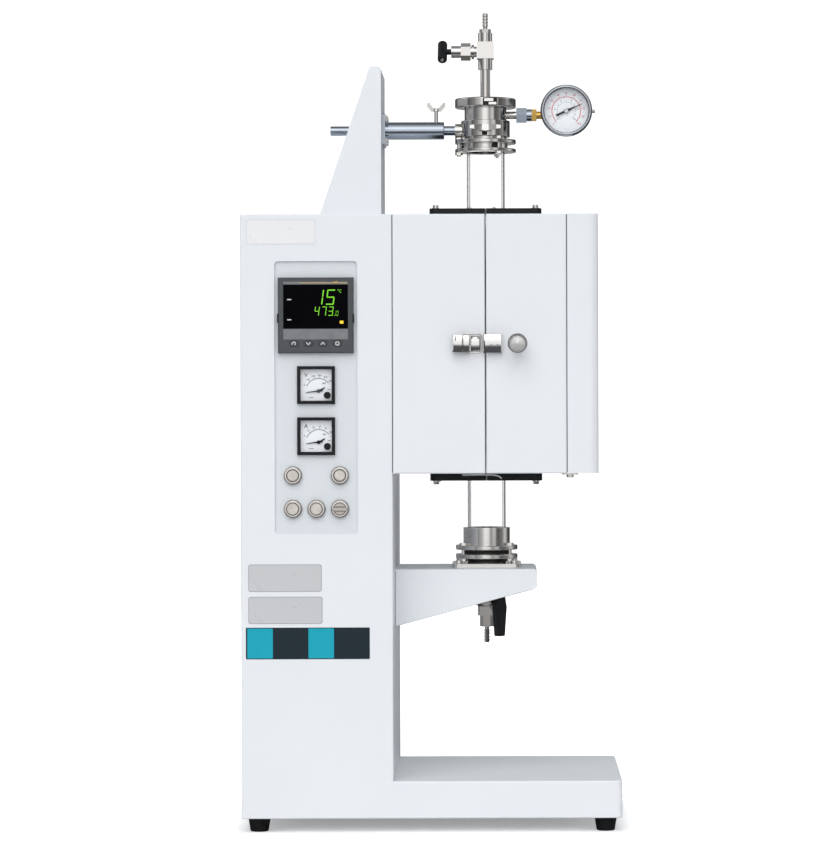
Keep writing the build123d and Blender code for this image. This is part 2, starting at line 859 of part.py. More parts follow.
def latch_base():
    """Plate on the fixed half with two ears and the lever's pin."""
    half = latch_height / 2 - latch_sheet - latch_ear_gap
    base = block(latch_pivot_x - latch_base_left, latch_pivot_x + latch_base_right, front - latch_sheet,
                 front, chamber_middle - half, chamber_middle + half)
    for side in (-1, 1):
        outer = chamber_middle + side * half
        inner = outer - side * latch_sheet
        ear = rounded_block(latch_pivot_x - latch_ear_half, latch_pivot_x + latch_ear_half,
                            latch_pivot_y - latch_ear_rise, front, min(outer, inner),
                            max(outer, inner), latch_ear_round)
        base += ear
    pin_length = latch_height - 2 * latch_pin_inset
    pin = rod(latch_pin_radius, (latch_pivot_x, latch_pivot_y, chamber_middle - pin_length / 2), UP,
              pin_length)
    return base + pin


def bevelled_shell(x0, x1, y_front, y_back, height, bevel, wall):
    """Pressed cover, open at its back, with bevelled long edges."""
    half = height / 2
    shell = block(x0, x1, y_front, y_back, chamber_middle - half, chamber_middle + half)
    long_edges = shell.faces().sort_by(Axis.Y)[0].edges().filter_by(Axis.X)
    shell = chamfer(long_edges, bevel)
    room = block(x0 + wall, x1 - wall, y_front + wall, y_back + past, chamber_middle - half + wall,
                 chamber_middle + half - wall)
    room_edges = room.faces().sort_by(Axis.Y)[0].edges().filter_by(Axis.X)
    return shell - chamfer(room_edges, bevel - wall / 2)


def latch_lever():
    """Pressed lever that covers the ears, free end to the left."""
    body = bevelled_shell(latch_pivot_x - latch_tail, latch_pivot_x + latch_toe, front - latch_rise,
                          front - latch_foot_gap, latch_height, latch_bevel, latch_sheet)
    body -= block(latch_pivot_x, latch_pivot_x + latch_toe + past, front - latch_rise + latch_sheet,
                  front, chamber_middle - latch_height / 2 + latch_sheet,
                  chamber_middle + latch_height / 2 - latch_sheet)
    below = chamber_middle - latch_height
    body -= rod(latch_pin_radius + running_gap, (latch_pivot_x, latch_pivot_y, below), UP,
                2 * latch_height)
    return body - rod(bail_radius + running_gap, (latch_pivot_x - bail_pivot_offset, latch_pivot_y,
                                                  below), UP, 2 * latch_height)


def latch_bail():
    """Wire loop whose bent ends turn in the lever's sides."""
    half = latch_height / 2 + bail_side_gap + bail_radius
    x0 = latch_pivot_x - bail_pivot_offset
    x1 = x0 + bail_reach
    inside = half - bail_radius - bail_side_gap - latch_sheet
    y = latch_pivot_y
    z = chamber_middle
    end_bend = bail_radius + bail_bend_gap
    path = FilletPolyline((x0, y, z - inside), (x0, y, z - half), (x1, y, z - half), (x1, y, z + half),
                          (x0, y, z + half), (x0, y, z + inside),
                          radius=[end_bend, bail_corner, bail_corner, end_bend])
    section = Plane(origin=path @ 0, z_dir=path % 0) * Circle(bail_radius)
    return sweep(section, path=path)


def latch_keeper():
    """Pressed keeper on the door; its nose overhangs the seam towards the bail."""
    x0 = seam_x - keeper_nose
    x1 = seam_x + keeper_width
    body = bevelled_shell(x0, x1, front - keeper_rise, front, keeper_height, latch_bevel, latch_sheet)
    cut = block(x0 - past, seam_x + seam_gap, front - keeper_undercut, front + past,
                chamber_middle - keeper_height, chamber_middle + keeper_height)
    return body - cut


# ------------------------------------------------------------------ brackets on the column
bracket_depth = 140.0
bracket_sheet = 3.0
shelf_length = 184.0
shelf_root_height = 74.0
shelf_tip_height = 24.5
shelf_corner = 5.0
shelf_hole_radius = 11.0
mast_height = 195.0
mast_foot = 80.5
mast_tip = 14.6
mast_right_from_left = 176.7
mast_corner = 4.0
arm_rod_radius = 6.25
arm_hole_gap = 1.0
rod_end_chamfer = 0.6
sleeve_end_chamfer = 0.8
sleeve_flange_corner = 3.0
sleeve_radius = 11.5
sleeve_length = 77.0
sleeve_flange_height = 43.0
sleeve_flange_width = 43.0
sleeve_flange_thickness = 3.5
arm_rod_left_from_left = 108.0
sleeve_bolt_spacing = 30.0
sleeve_bolt_radius = 2.6


def channel(points):
    """Solid with a given front outline, as deep as the brackets are."""
    y0 = tube_y - bracket_depth / 2
    plane = Plane(origin=(0, y0, 0), x_dir=(1, 0, 0), z_dir=TO_FRONT)
    body = extrude(plane * Polygon(*points, align=None), -bracket_depth)
    return body


def shelf_bracket():
    """Folded shelf: top, two tapered cheeks and an end flange, open from below."""
    x0 = column_right
    x1 = column_right + shelf_length
    outline = [(x0, shelf_top), (x0, shelf_top - shelf_root_height), (x1, shelf_top - shelf_tip_height),
               (x1, shelf_top)]
    body = channel(outline)
    tip_edges = body.edges().filter_by(Axis.Y).sort_by(Axis.X)[-2:]
    body = fillet(tip_edges, shelf_corner)
    y0 = tube_y - bracket_depth / 2 + bracket_sheet
    y1 = tube_y + bracket_depth / 2 - bracket_sheet
    body -= block(x0 + bracket_sheet, x1 - bracket_sheet, y0, y1, shelf_top - 2 * shelf_root_height,
                  shelf_top - bracket_sheet)
    return body - rod(shelf_hole_radius, on_tube(shelf_top - past - bracket_sheet), UP,
                      bracket_sheet + 2 * past)


def upper_bracket():
    """Tapered mast on the column: two cheeks, an upright plate for the arm and a foot."""
    x1 = left + mast_right_from_left
    low = column_top
    high = column_top + mast_height
    outline = [(x1, low), (x1, high), (x1 - mast_tip, high), (x1 - mast_foot, low)]
    body = channel(outline)
    top_edges = body.edges().filter_by(Axis.Y).sort_by(Axis.Z)[-2:]
    body = fillet(top_edges, mast_corner)
    y0 = tube_y - bracket_depth / 2 + bracket_sheet
    y1 = tube_y + bracket_depth / 2 - bracket_sheet
    body -= block(x1 - 2 * mast_foot, x1 - bracket_sheet, y0, y1, low + bracket_sheet,
                  high - bracket_sheet)
    body -= rod(arm_rod_radius + arm_hole_gap, (x1 - bracket_sheet - past, tube_y, arm_z), TO_RIGHT,
                bracket_sheet + 2 * past)
    for hole_y, hole_z in arm_bolt_places():
        body -= rod(sleeve_bolt_radius, (x1 - bracket_sheet - past, hole_y, hole_z), TO_RIGHT,
                    bracket_sheet + 2 * past)
    return body


def arm_bolt_places():
    """The four bolt centres of the arm's flange."""
    half = sleeve_bolt_spacing / 2
    for y_side in (-1, 1):
        for z_side in (-1, 1):
            yield tube_y + y_side * half, arm_z + z_side * half


sleeve_start = left + mast_right_from_left
wing_screw_from_sleeve_end = 10.4
wing_stem_radius = 2.5
wing_stem_height = 16.0
wing_span = 24.0
wing_height = 11.0
wing_root = 2.6
wing_hub_radius = 4.5
wing_hub_height = 4.0
wing_hub_taper = 0.8
wing_tip_taper = 0.45
wing_lower_edge = (0.55, 0.6)
wing_crest = 0.72


def arm_sleeve():
    """Bored sleeve on its bolted flange."""
    half_y = sleeve_flange_width / 2
    half_z = sleeve_flange_height / 2
    body = rounded_block(sleeve_start, sleeve_start + sleeve_flange_thickness, tube_y - half_y,
                         tube_y + half_y, arm_z - half_z, arm_z + half_z, sleeve_flange_corner,
                         Axis.X)
    tube = rod(sleeve_radius, (sleeve_start, tube_y, arm_z), TO_RIGHT,
               sleeve_flange_thickness + sleeve_length)
    body += chamfer(tube.edges().sort_by(Axis.X)[-1], sleeve_end_chamfer)
    body -= rod(arm_rod_radius + running_gap, (sleeve_start - past, tube_y, arm_z), TO_RIGHT,
                sleeve_length + sleeve_flange_thickness + 2 * past)
    for hole_y, hole_z in arm_bolt_places():
        body -= rod(sleeve_bolt_radius, (sleeve_start - past, hole_y, hole_z), TO_RIGHT,
                    sleeve_flange_thickness + 2 * past)
    x = wing_screw_x
    return body - rod(wing_stem_radius + running_gap, (x, tube_y, arm_z), UP, sleeve_radius + past)


wing_screw_x = sleeve_start + sleeve_flange_thickness + sleeve_length - wing_screw_from_sleeve_end


def wings(place, span, height, root, hub_radius, hub_height):
    """A wing nut on a plane: tapered wings spread along its x axis and raised along its z axis."""
    half = span / 2
    edge_out, edge_up = wing_lower_edge
    side = Polygon((0, 0), (half * edge_out, 0), (half, height * edge_up), (half, height),
                   (half * wing_crest, height), (hub_radius * wing_hub_taper, hub_height),
                   (0, hub_height), align=None)
    upright = Plane(origin=(0, root, 0), x_dir=(1, 0, 0), z_dir=TO_FRONT)
    blades = extrude(upright * side, 2 * root)
    tip = root * wing_tip_taper
    above = Polygon((0, -root), (half, -tip), (half, tip), (0, root), align=None)
    blades = blades & extrude(above, height)
    blades = blades + mirror(blades, about=Plane.YZ)
    hub = Cone(hub_radius, hub_radius * wing_hub_taper, hub_height, align=FROM_BASE)
    return place * (hub + blades)


def arm_wing_screw():
    """Thumb screw that locks the rod in the sleeve."""
    bottom = arm_z + arm_rod_radius + fit_gap
    top = arm_z + sleeve_radius + wing_stem_height
    screw = rod(wing_stem_radius, (wing_screw_x, tube_y, bottom), UP, top - bottom)
    place = Plane(origin=(wing_screw_x, tube_y, top - wing_hub_height / 2))
    return screw + wings(place, wing_span, wing_height, wing_root, wing_hub_radius, wing_hub_height)


# ------------------------------------------------------------------ head of the work tube
neck_radius = 27.5
tube_in_head = 20.0
neck_low = tube_top - tube_in_head
neck_height = 47.0
neck_top = neck_low + neck_height
head_disc_radius = 40.0
head_disc_thickness = 5.5
gasket_height = 6.5
lower_disc_thickness = 4.5
lower_disc_low = neck_low - gasket_height - lower_disc_thickness
gasket_radius = 29.0
support_above_neck_low = 9.0
support_height = 21.5
support_low = neck_low + support_above_neck_low
support_radius = 32.0
support_boss_radius = 9.0
support_boss_reach = 40.0
support_socket_depth = 7.0
cap_ring_low = neck_top
cap_ring_height = 12.5
cap_ring_high = cap_ring_low + cap_ring_height
cap_recess = 6.0
cap_ring_round = 2.0
cap_pipe_radius = 6.5
cap_pipe_wall = 1.5
cap_pipe_height = 38.5
cap_top = cap_ring_high + cap_pipe_height
bore_radius = 20.0
tie_count = 3
tie_circle_radius = 35.0
tie_radius = 2.5
tie_nut_across = 9.0
tie_nut_length = 3.2
tie_thread_end = 2.0
disc_edge_round = 1.0
tie_first_angle = -60.0
gauge_port_drop = 9.0
gauge_z = neck_top - gauge_port_drop
gauge_stub_radius = 5.0
gauge_port_end = 40.6
gauge_bore_radius = 3.0
seal_gap = 0.2


def tie_places(count, first):
    """The tie screws' centres round the tube axis."""
    for index in range(count):
        angle = radians(first + index * 360.0 / count)
        yield tie_circle_radius * cos(angle), tie_circle_radius * sin(angle)


def tie_screws(low, high, count, first):
    """Screws through a pair of discs with a nut at each end."""
    screws = []
    for dx, dy in tie_places(count, first):
        screw = rod(tie_radius, on_tube(low - tie_nut_length - tie_thread_end, dx, dy), UP,
                    high - low + 2 * tie_nut_length + tie_thread_end)
        screw += hexagon(tie_nut_across, on_tube(low - tie_nut_length, dx, dy), UP, tie_nut_length)
        screw += hexagon(tie_nut_across, on_tube(high, dx, dy), UP, tie_nut_length)
        screws.append(screw)
    return screws


def drilled_disc(low, thickness, radius, bore, count, first):
    """A flange disc with clearance holes for the tie screws."""
    disc = ring(radius, bore, on_tube(low), UP, thickness)
    disc = fillet(disc.edges().filter_by(GeomType.CIRCLE).sort_by(SortBy.RADIUS)[-2:],
                  disc_edge_round)
    for dx, dy in tie_places(count, first):
        disc -= rod(tie_radius + seal_gap, on_tube(low - past, dx, dy), UP, thickness + 2 * past)
    return disc


def quartz_tube():
    """Open-ended quartz work tube with softly rounded rims."""
    tube = ring(tube_radius, tube_radius - tube_wall, on_tube(tube_bottom), UP, tube_top - tube_bottom)
    return fillet(tube.edges().filter_by(GeomType.CIRCLE), tube_rim_round)


def head_body():
    """Upper flange body: drilled disc, neck with the tube's socket, and the gauge port."""
    body = drilled_disc(neck_low, head_disc_thickness, head_disc_radius, tube_radius + seal_gap,
                        tie_count, tie_first_angle)
    body += rod(neck_radius, on_tube(neck_low), UP, neck_top - neck_low)
    body += rod(gauge_stub_radius, (tube_x, tube_y, gauge_z), TO_RIGHT, gauge_port_end)
    body -= rod(tube_radius + seal_gap, on_tube(neck_low - past), UP, tube_top + seal_gap - neck_low + past)
    body -= rod(bore_radius, on_tube(neck_low), UP, neck_top - neck_low + past)
    return body - rod(gauge_bore_radius, (tube_x, tube_y, gauge_z), TO_RIGHT, gauge_port_end + past)


def seal_discs():
    """Compression disc and its gasket collar under the head, tied up by three screws."""
    disc = drilled_disc(lower_disc_low, lower_disc_thickness, head_disc_radius,
                        tube_radius + seal_gap, tie_count, tie_first_angle)
    gasket_low = lower_disc_low + lower_disc_thickness
    gasket = ring(gasket_radius, tube_radius + seal_gap, on_tube(gasket_low), UP, neck_low - gasket_low)
    screws = tie_screws(lower_disc_low, neck_low + head_disc_thickness, tie_count, tie_first_angle)
    return Compound(children=[disc + gasket] + screws)


def head_cap():
    """Quick-clamp ring over the neck, with the closed cap and its pipe."""
    band = rod(head_disc_radius, on_tube(cap_ring_low), UP, cap_ring_high - cap_ring_low)
    band = fillet(band.edges().filter_by(GeomType.CIRCLE), cap_ring_round)
    band += rod(cap_pipe_radius, on_tube(cap_ring_high), UP, cap_top - cap_ring_high)
    band -= rod(bore_radius, on_tube(cap_ring_low - past), UP, cap_recess + past)
    return band - rod(cap_pipe_radius - cap_pipe_wall, on_tube(cap_ring_low), UP, cap_top)


ring_screw_rise = 10.0
ring_screw_z = support_low + ring_screw_rise
ring_screw_overlap = 1.0
ring_wing_span = 40.0
ring_wing_height = 13.0
ring_wing_root = 4.5
ring_wing_hub_radius = 5.5
ring_wing_hub_height = 5.0
ring_wing_from_axis = 42.0


def support_ring():
    """Ring round the neck, with the socket of the arm's rod and the wing screw's hole."""
    height = support_height
    body = rod(support_radius, on_tube(support_low), UP, height)
    body = fillet(body.edges().filter_by(GeomType.CIRCLE), disc_edge_round)
    body += rod(support_boss_radius, (tube_x, tube_y, arm_z), TO_LEFT, support_boss_reach)
    body -= rod(neck_radius + seal_gap, on_tube(support_low - past), UP, height + 2 * past)
    socket = tube_x - support_boss_reach + support_socket_depth
    body -= rod(arm_rod_radius + running_gap, (socket, tube_y, arm_z), TO_LEFT, support_boss_reach)
    return body - rod(wing_stem_radius + running_gap, (tube_x, tube_y, ring_screw_z), TO_FRONT,
                      support_radius + past)


def arm_rod():
    """Steel rod through the sleeve into the support ring."""
    start = left + arm_rod_left_from_left
    end = tube_x - support_boss_reach + support_socket_depth - fit_gap
    bar = rod(arm_rod_radius, (start, tube_y, arm_z), TO_RIGHT, end - start)
    return chamfer(bar.edges().filter_by(GeomType.CIRCLE), rod_end_chamfer)


def ring_wing_screw():
    """Thumb screw that locks the neck in the support ring."""
    start = neck_radius + fit_gap
    screw = rod(wing_stem_radius, (tube_x, tube_y - start, ring_screw_z), TO_FRONT,
                ring_wing_from_axis + ring_screw_overlap - start)
    place = Plane(origin=(tube_x, tube_y - ring_wing_from_axis, ring_screw_z), x_dir=(1, 0, 0),
                  z_dir=TO_FRONT)
    return screw + wings(place, ring_wing_span, ring_wing_height, ring_wing_root, ring_wing_hub_radius,
                         ring_wing_hub_height)


# ------------------------------------------------------------------ needle valve and hose tails
valve_collar_radius = 9.35
valve_block = 22.5
valve_lower_collar = 14.0
valve_block_height = 22.0
valve_upper_collar = 12.0
valve_axis_rise = 9.5
valve_block_low = cap_top + valve_lower_collar
valve_block_high = valve_block_low + valve_block_height
valve_top = valve_block_high + valve_upper_collar
valve_z = valve_block_low + valve_axis_rise
valve_neck_radius = 7.0
valve_ring_radius = 9.5
valve_hex_across = 20.0
bonnet_radius = 7.9
valve_stem_radius = 3.75
valve_ring_from_axis = 14.7
valve_hex_from_axis = 19.3
valve_ring_gap = 1.2
bonnet_from_axis = 32.0
bonnet_end_from_axis = 44.6
bar_from_axis = 50.0
bar_radius = 6.2
bar_length = 34.0
bar_tilt = 45.0
bar_round = 1.8
stem_into_bar = 2.0
valve_gas_bore = 4.0
barb_collar_across = 13.3
barb_collar_height = 5.0
barb_radius = 3.95
barb_bore = 2.0
barb_teeth = 4
barb_pitch = 4.2
barb_lead = 4.2


def needle_valve_body():
    """Angle needle valve on the cap's pipe: collars, block, and the side bonnet."""
    body = turned(on_tube(cap_top), UP, (valve_collar_radius, valve_block_low - cap_top))
    half = valve_block / 2
    body += block(tube_x - half, tube_x + half, tube_y - half, tube_y + half, valve_block_low,
                  valve_block_high)
    body += rod(valve_collar_radius, on_tube(valve_block_high), UP, valve_top - valve_block_high)
    body += rod(valve_neck_radius, (tube_x, tube_y, valve_z), TO_LEFT, valve_hex_from_axis)
    body += rod(valve_ring_radius, (tube_x - valve_ring_from_axis, tube_y, valve_z), TO_LEFT,
                valve_hex_from_axis - valve_ring_from_axis - valve_ring_gap)
    body += hexagon(valve_hex_across, (tube_x - valve_hex_from_axis, tube_y, valve_z), TO_LEFT,
                    bonnet_from_axis - valve_hex_from_axis)
    body += rod(bonnet_radius, (tube_x - bonnet_from_axis, tube_y, valve_z), TO_LEFT,
                bonnet_end_from_axis - bonnet_from_axis)
    body -= rod(valve_stem_radius + running_gap, (tube_x - bonnet_from_axis, tube_y, valve_z), TO_LEFT,
                bonnet_end_from_axis)
    return body - rod(valve_gas_bore, on_tube(cap_top - past), UP, valve_top - cap_top + 2 * past)


def needle_valve_handle():
    """Stem with the round-ended T bar, its lower end turned towards the front."""
    inner = bonnet_from_axis + fit_gap
    body = rod(valve_stem_radius, (tube_x - inner, tube_y, valve_z), TO_LEFT,
               bar_from_axis - inner + stem_into_bar)
    tilt = radians(bar_tilt)
    bar_centre = (tube_x - bar_from_axis - bar_radius, tube_y, valve_z)
    place = Plane(origin=bar_centre, x_dir=(1, 0, 0), z_dir=(0, -sin(tilt), -cos(tilt)))
    bar = place * Cylinder(bar_radius, bar_length)
    return body + fillet(bar.edges().filter_by(GeomType.CIRCLE), bar_round)


def hose_barbs():
    """Hose tails of the inlet, above, and the outlet, below."""
    inlet = hexagon(barb_collar_across, on_tube(valve_top), UP, barb_collar_height)
    inlet -= rod(barb_bore, on_tube(valve_top - past), UP, barb_collar_height + 2 * past)
    tail = barb(on_tube(valve_top + barb_collar_height), UP, barb_radius, barb_bore, barb_teeth,
                barb_pitch, barb_lead)
    outlet = barb(on_tube(outlet_low), DOWN, barb_radius, barb_bore, barb_teeth, barb_pitch, barb_lead)
    return Compound(children=[inlet + tail, outlet])


# ------------------------------------------------------------------ pressure gauge
gauge_from_axis = 106.1
gauge_rise = 5.0
gauge_centre_z = gauge_z + gauge_rise
gauge_radius = 34.0
gauge_body_radius = 32.0
gauge_front = 15.0
gauge_bezel = 8.0
gauge_back = 13.0
gauge_pocket_radius = 29.0
gauge_pocket_depth = 11.0
gauge_window_thickness = 2.0
gauge_dial_thickness = 0.8
gauge_needle_angle = 25.0
gauge_needle_length = 23.0
gauge_needle_tail = 14.0
gauge_needle_width = 1.3
gauge_needle_thickness = 0.6
gauge_hub_radius = 3.0
gauge_pin_radius = 0.9
union_hex_across = 18.6
union_hex_end = 54.1
union_collar_radius = 8.0
union_collar_end = 60.6
socket_hex_across = 15.0
socket_hex_end = 67.1
socket_neck_radius = 5.0
gauge_plug_radius = 2.2
gauge_plug_reach = 4.0
gauge_hex_turn = 30.0
socket_into_case = 4.0
gauge_back_round = 3.0
gauge_bezel_round = 1.8
gauge_pin_length = 3.4
gauge_window_inset = 1.2
gauge_needle_lift = 2.0
gauge_x = tube_x + gauge_from_axis
gauge_face_y = tube_y - gauge_front


def gauge_cylinder(radius, y0, y1):
    """A cylinder on the gauge's axis between two depths."""
    return rod(radius, (gauge_x, y0, gauge_centre_z), TO_REAR, y1 - y0)


def gauge_stem():
    """Steel union nut and collar, then the gauge's own brass hexagon and neck."""
    start = (tube_x + gauge_port_end, tube_y, gauge_z)
    union = hexagon(union_hex_across, start, TO_RIGHT, union_hex_end - gauge_port_end,
                    gauge_hex_turn)
    union = union + rod(union_collar_radius, (tube_x + union_hex_end, tube_y, gauge_z), TO_RIGHT,
                        union_collar_end - union_hex_end)
    union -= rod(gauge_bore_radius, start, TO_RIGHT, union_collar_end)
    socket_start = (tube_x + union_collar_end, tube_y, gauge_z)
    socket = hexagon(socket_hex_across, socket_start, TO_RIGHT, socket_hex_end - union_collar_end,
                     gauge_hex_turn)
    socket += rod(socket_neck_radius, socket_start, TO_RIGHT,
                  gauge_from_axis - gauge_body_radius + socket_into_case - union_collar_end)
    socket -= gauge_cylinder(gauge_body_radius, gauge_face_y - past, tube_y + gauge_back + past)
    return Compound(children=[union, socket])


def gauge_case():
    """Round case with a rolled bezel, the dial's pocket and a relief plug on its right side."""
    body = gauge_cylinder(gauge_body_radius, gauge_face_y, tube_y + gauge_back)
    body = fillet(body.edges().sort_by(Axis.Y)[-1], gauge_back_round)
    bezel = gauge_cylinder(gauge_radius, gauge_face_y, gauge_face_y + gauge_bezel)
    body += fillet(bezel.edges().filter_by(GeomType.CIRCLE), gauge_bezel_round)
    plug_start = (gauge_x + gauge_body_radius - past, tube_y, gauge_centre_z)
    body += rod(gauge_plug_radius, plug_start, TO_RIGHT,
                gauge_radius - gauge_body_radius + gauge_plug_reach + past)
    return body - gauge_cylinder(gauge_pocket_radius, gauge_face_y - past,
                                 gauge_face_y + gauge_pocket_depth)


def gauge_dial():
    """The gauge's dial plate with its pointer's pin."""
    face = gauge_face_y + gauge_pocket_depth - gauge_dial_thickness
    plate = gauge_cylinder(gauge_pocket_radius - fit_gap / 2, face, face + gauge_dial_thickness)
    return plate + gauge_cylinder(gauge_pin_radius, face - gauge_pin_length, face)


def gauge_window():
    """The gauge's clear window inside its bezel."""
    front_y = gauge_face_y + gauge_window_inset
    return gauge_cylinder(gauge_pocket_radius - fit_gap / 2, front_y,
                          front_y + gauge_window_thickness)


def gauge_needle():
    """The gauge's pointer with its tail and hub."""
    back = gauge_face_y + gauge_pocket_depth - gauge_dial_thickness - gauge_needle_lift
    return needle((gauge_x, back, gauge_centre_z), gauge_needle_angle, gauge_needle_length,
                  gauge_needle_tail, gauge_needle_width, gauge_needle_thickness, gauge_hub_radius,
                  gauge_pin_radius)


def instrument_dials():
    """Dial plates of both meters and the gauge."""
    return Compound(children=list(meter_dials().solids()) + [gauge_dial().solid()])


def instrument_windows():
    """Clear covers of both meters and the gauge."""
    return Compound(children=list(meter_windows().solids()) + [gauge_window().solid()])


# ------------------------------------------------------------------ lower end of the work tube
seat_plate_size = 90.0
seat_plate_thickness = 5.5
seat_plate_corner = 8.0
seat_hole_inset = 9.0
seat_hole_radius = 2.75
seat_neck_radius = 24.0
seat_neck_height = 11.1
base_disc_low = shelf_top + seat_neck_height
base_disc_thickness = 6.0
groove_height = 5.5
groove_radius = 33.0
base_disc_radius = 40.5
collar_radius = 30.5
collar_height = 40.5
collar_top = base_disc_low + collar_height
seal_ring_inset = 4.0
lower_tie_count = 3
lower_tie_first_angle = -30.0
outlet_pipe_radius = 8.0
outlet_pipe_wall = 2.0
outlet_pipe_bore = outlet_pipe_radius - outlet_pipe_wall
outlet_pipe_length = 40.4
outlet_body_height = 23.4
outlet_body_corner = 3.0
outlet_body_high = shelf_top - outlet_pipe_length
outlet_body_low = outlet_body_high - outlet_body_height
outlet_body_size = 19.5
outlet_hex_across = 16.0
outlet_hex_height = 14.8
outlet_low = outlet_body_low - outlet_hex_height
outlet_stem_radius = 3.0
outlet_boss_radius = 5.5
outlet_boss_reach = 19.0
outlet_stem_rise = 11.4
outlet_stem_z = outlet_body_low + outlet_stem_rise
outlet_stem_angle = -45.0
lever_offset = 20.0
lever_thickness = 8.0
lever_top = 17.0
lever_bottom = 38.0
lever_top_width = 12.0
lever_width = 20.0
lever_bottom_width = 12.5
lever_corner = 1.5
lever_hole_depth = 6.0
lever_edge_chamfer = 0.8


def lower_flange():
    """Seat plate with its fixed disc, then the clamped disc and collar round the tube."""
    half = seat_plate_size / 2
    base = rounded_block(tube_x - half, tube_x + half, tube_y - half, tube_y + half, shelf_top,
                         shelf_top + seat_plate_thickness, seat_plate_corner)
    for x_side in (-1, 1):
        for y_side in (-1, 1):
            reach = half - seat_hole_inset
            base -= rod(seat_hole_radius, on_tube(shelf_top - past, x_side * reach, y_side * reach), UP,
                        seat_plate_thickness + 2 * past)
    base += rod(seat_neck_radius, on_tube(shelf_top), UP, base_disc_low - shelf_top)
    base += drilled_disc(base_disc_low, base_disc_thickness, base_disc_radius, outlet_pipe_bore,
                         lower_tie_count, lower_tie_first_angle)
    base -= rod(outlet_pipe_bore, on_tube(shelf_top - past), UP, wide)
    disc_low = base_disc_low + base_disc_thickness + groove_height
    upper = drilled_disc(disc_low, base_disc_thickness, base_disc_radius, tube_radius + seal_gap,
                         lower_tie_count, lower_tie_first_angle)
    upper += ring(groove_radius - seal_ring_inset, tube_radius + seal_gap,
                  on_tube(disc_low - groove_height), UP, groove_height)
    collar = ring(collar_radius, tube_radius + seal_gap, on_tube(disc_low), UP, collar_top - disc_low)
    upper += collar
    screws = tie_screws(base_disc_low, disc_low + base_disc_thickness, lower_tie_count,
                        lower_tie_first_angle)
    return Compound(children=[base, upper] + screws)


def outlet_direction():
    """The direction of the outlet valve's stem, towards the front right."""
    angle = radians(outlet_stem_angle)
    return (cos(angle), sin(angle), 0)


def outlet_valve_body():
    """Ball valve under the shelf: pipe, block, hexagon and the stem with its boss."""
    body = rod(outlet_pipe_radius, on_tube(outlet_body_high), UP, shelf_top - outlet_body_high)
    half = outlet_body_size / 2
    body += rounded_block(tube_x - half, tube_x + half, tube_y - half, tube_y + half, outlet_body_low,
                          outlet_body_high, outlet_body_corner)
    body += hexagon(outlet_hex_across, on_tube(outlet_low), UP, outlet_body_low - outlet_low)
    stem_start = on_tube(outlet_stem_z)
    body += rod(outlet_boss_radius, stem_start, outlet_direction(), outlet_boss_reach)
    body += rod(outlet_stem_radius, stem_start, outlet_direction(),
                lever_offset + lever_hole_depth - fit_gap)
    return body - rod(valve_gas_bore, on_tube(outlet_low - past), UP, shelf_top - outlet_low + 2 * past)


def outlet_lever():
    """Tapered black lever on the outlet valve's stem, hanging in line with the flow when open."""
    dx, dy, dz = outlet_direction()
    origin = on_tube(outlet_stem_z, dx * lever_offset, dy * lever_offset)
    place = Plane(origin=origin, x_dir=(-dy, dx, 0), z_dir=(dx, dy, 0))
    outline = Polygon((-lever_top_width / 2, lever_top), (-lever_width / 2, 0),
                      (-lever_bottom_width / 2, -lever_bottom), (lever_bottom_width / 2, -lever_bottom),
                      (lever_width / 2, 0), (lever_top_width / 2, lever_top), align=None)
    blade = extrude(outline, lever_thickness)
    blade = fillet(blade.edges().filter_by(Axis.Z), lever_corner)
    blade = chamfer(blade.faces().sort_by(Axis.Z)[-1].edges(), lever_edge_chamfer)
    blade -= Pos(0, 0, -past) * Cylinder(outlet_stem_radius + running_gap, lever_hole_depth + past,
                                         align=FROM_BASE)
    return place * blade


# ------------------------------------------------------------------ every piece, by name
pieces = {
    "cabinet_shell": cabinet_shell(),
    "bottom_plate": bottom_plate(),
    "rubber_feet": rubber_feet(),
    "rear_cover": rear_cover(),
    "power_inlet": power_inlet(),
    "power_regulator": power_regulator(),
    "control_panel": control_panel(),
    "controller_housing": controller_housing(),
    "controller_window": controller_window(),
    "meter_cases": meter_cases(),
    "instrument_dials": instrument_dials(),
    "instrument_windows": instrument_windows(),
    "voltmeter_needle": meter_needle("voltmeter"),
    "ammeter_needle": meter_needle("ammeter"),
    "button_bodies": button_bodies(),
    "lamp_lenses": lamp_lenses(),
    "turn_off_cap": push_cap("turn_off"),
    "turn_on_cap": push_cap("turn_on"),
    "selector_knob": selector_knob(),
    "chamber_shell": chamber_shell(),
    "door_shell": door_shell(),
    "fixed_insulation": insulation(-1),
    "door_insulation": insulation(1),
    "fixed_heater": heater(-1),
    "door_heater": heater(1),
    "fixed_end_covers": end_covers(-1),
    "door_end_covers": end_covers(1),
    "door_side_cover": door_side_cover(),
    "thermocouple": thermocouple(),
    "hinge_fixed_leaves": hinge_fixed_leaves(),
    "hinge_door_leaves": hinge_door_leaves(),
    "door_knob": door_knob(),
    "latch_base": latch_base(),
    "latch_lever": latch_lever(),
    "latch_bail": latch_bail(),
    "latch_keeper": latch_keeper(),
    "shelf_bracket": shelf_bracket(),
    "upper_bracket": upper_bracket(),
    "arm_sleeve": arm_sleeve(),
    "arm_rod": arm_rod(),
    "arm_wing_screw": arm_wing_screw(),
    "support_ring": support_ring(),
    "ring_wing_screw": ring_wing_screw(),
    "quartz_tube": quartz_tube(),
    "head_body": head_body(),
    "seal_discs": seal_discs(),
    "head_cap": head_cap(),
    "needle_valve_body": needle_valve_body(),
    "needle_valve_handle": needle_valve_handle(),
    "hose_barbs": hose_barbs(),
    "gauge_stem": gauge_stem(),
    "gauge_case": gauge_case(),
    "gauge_needle": gauge_needle(),
    "lower_flange": lower_flange(),
    "outlet_valve_body": outlet_valve_body(),
    "outlet_lever": outlet_lever(),
}
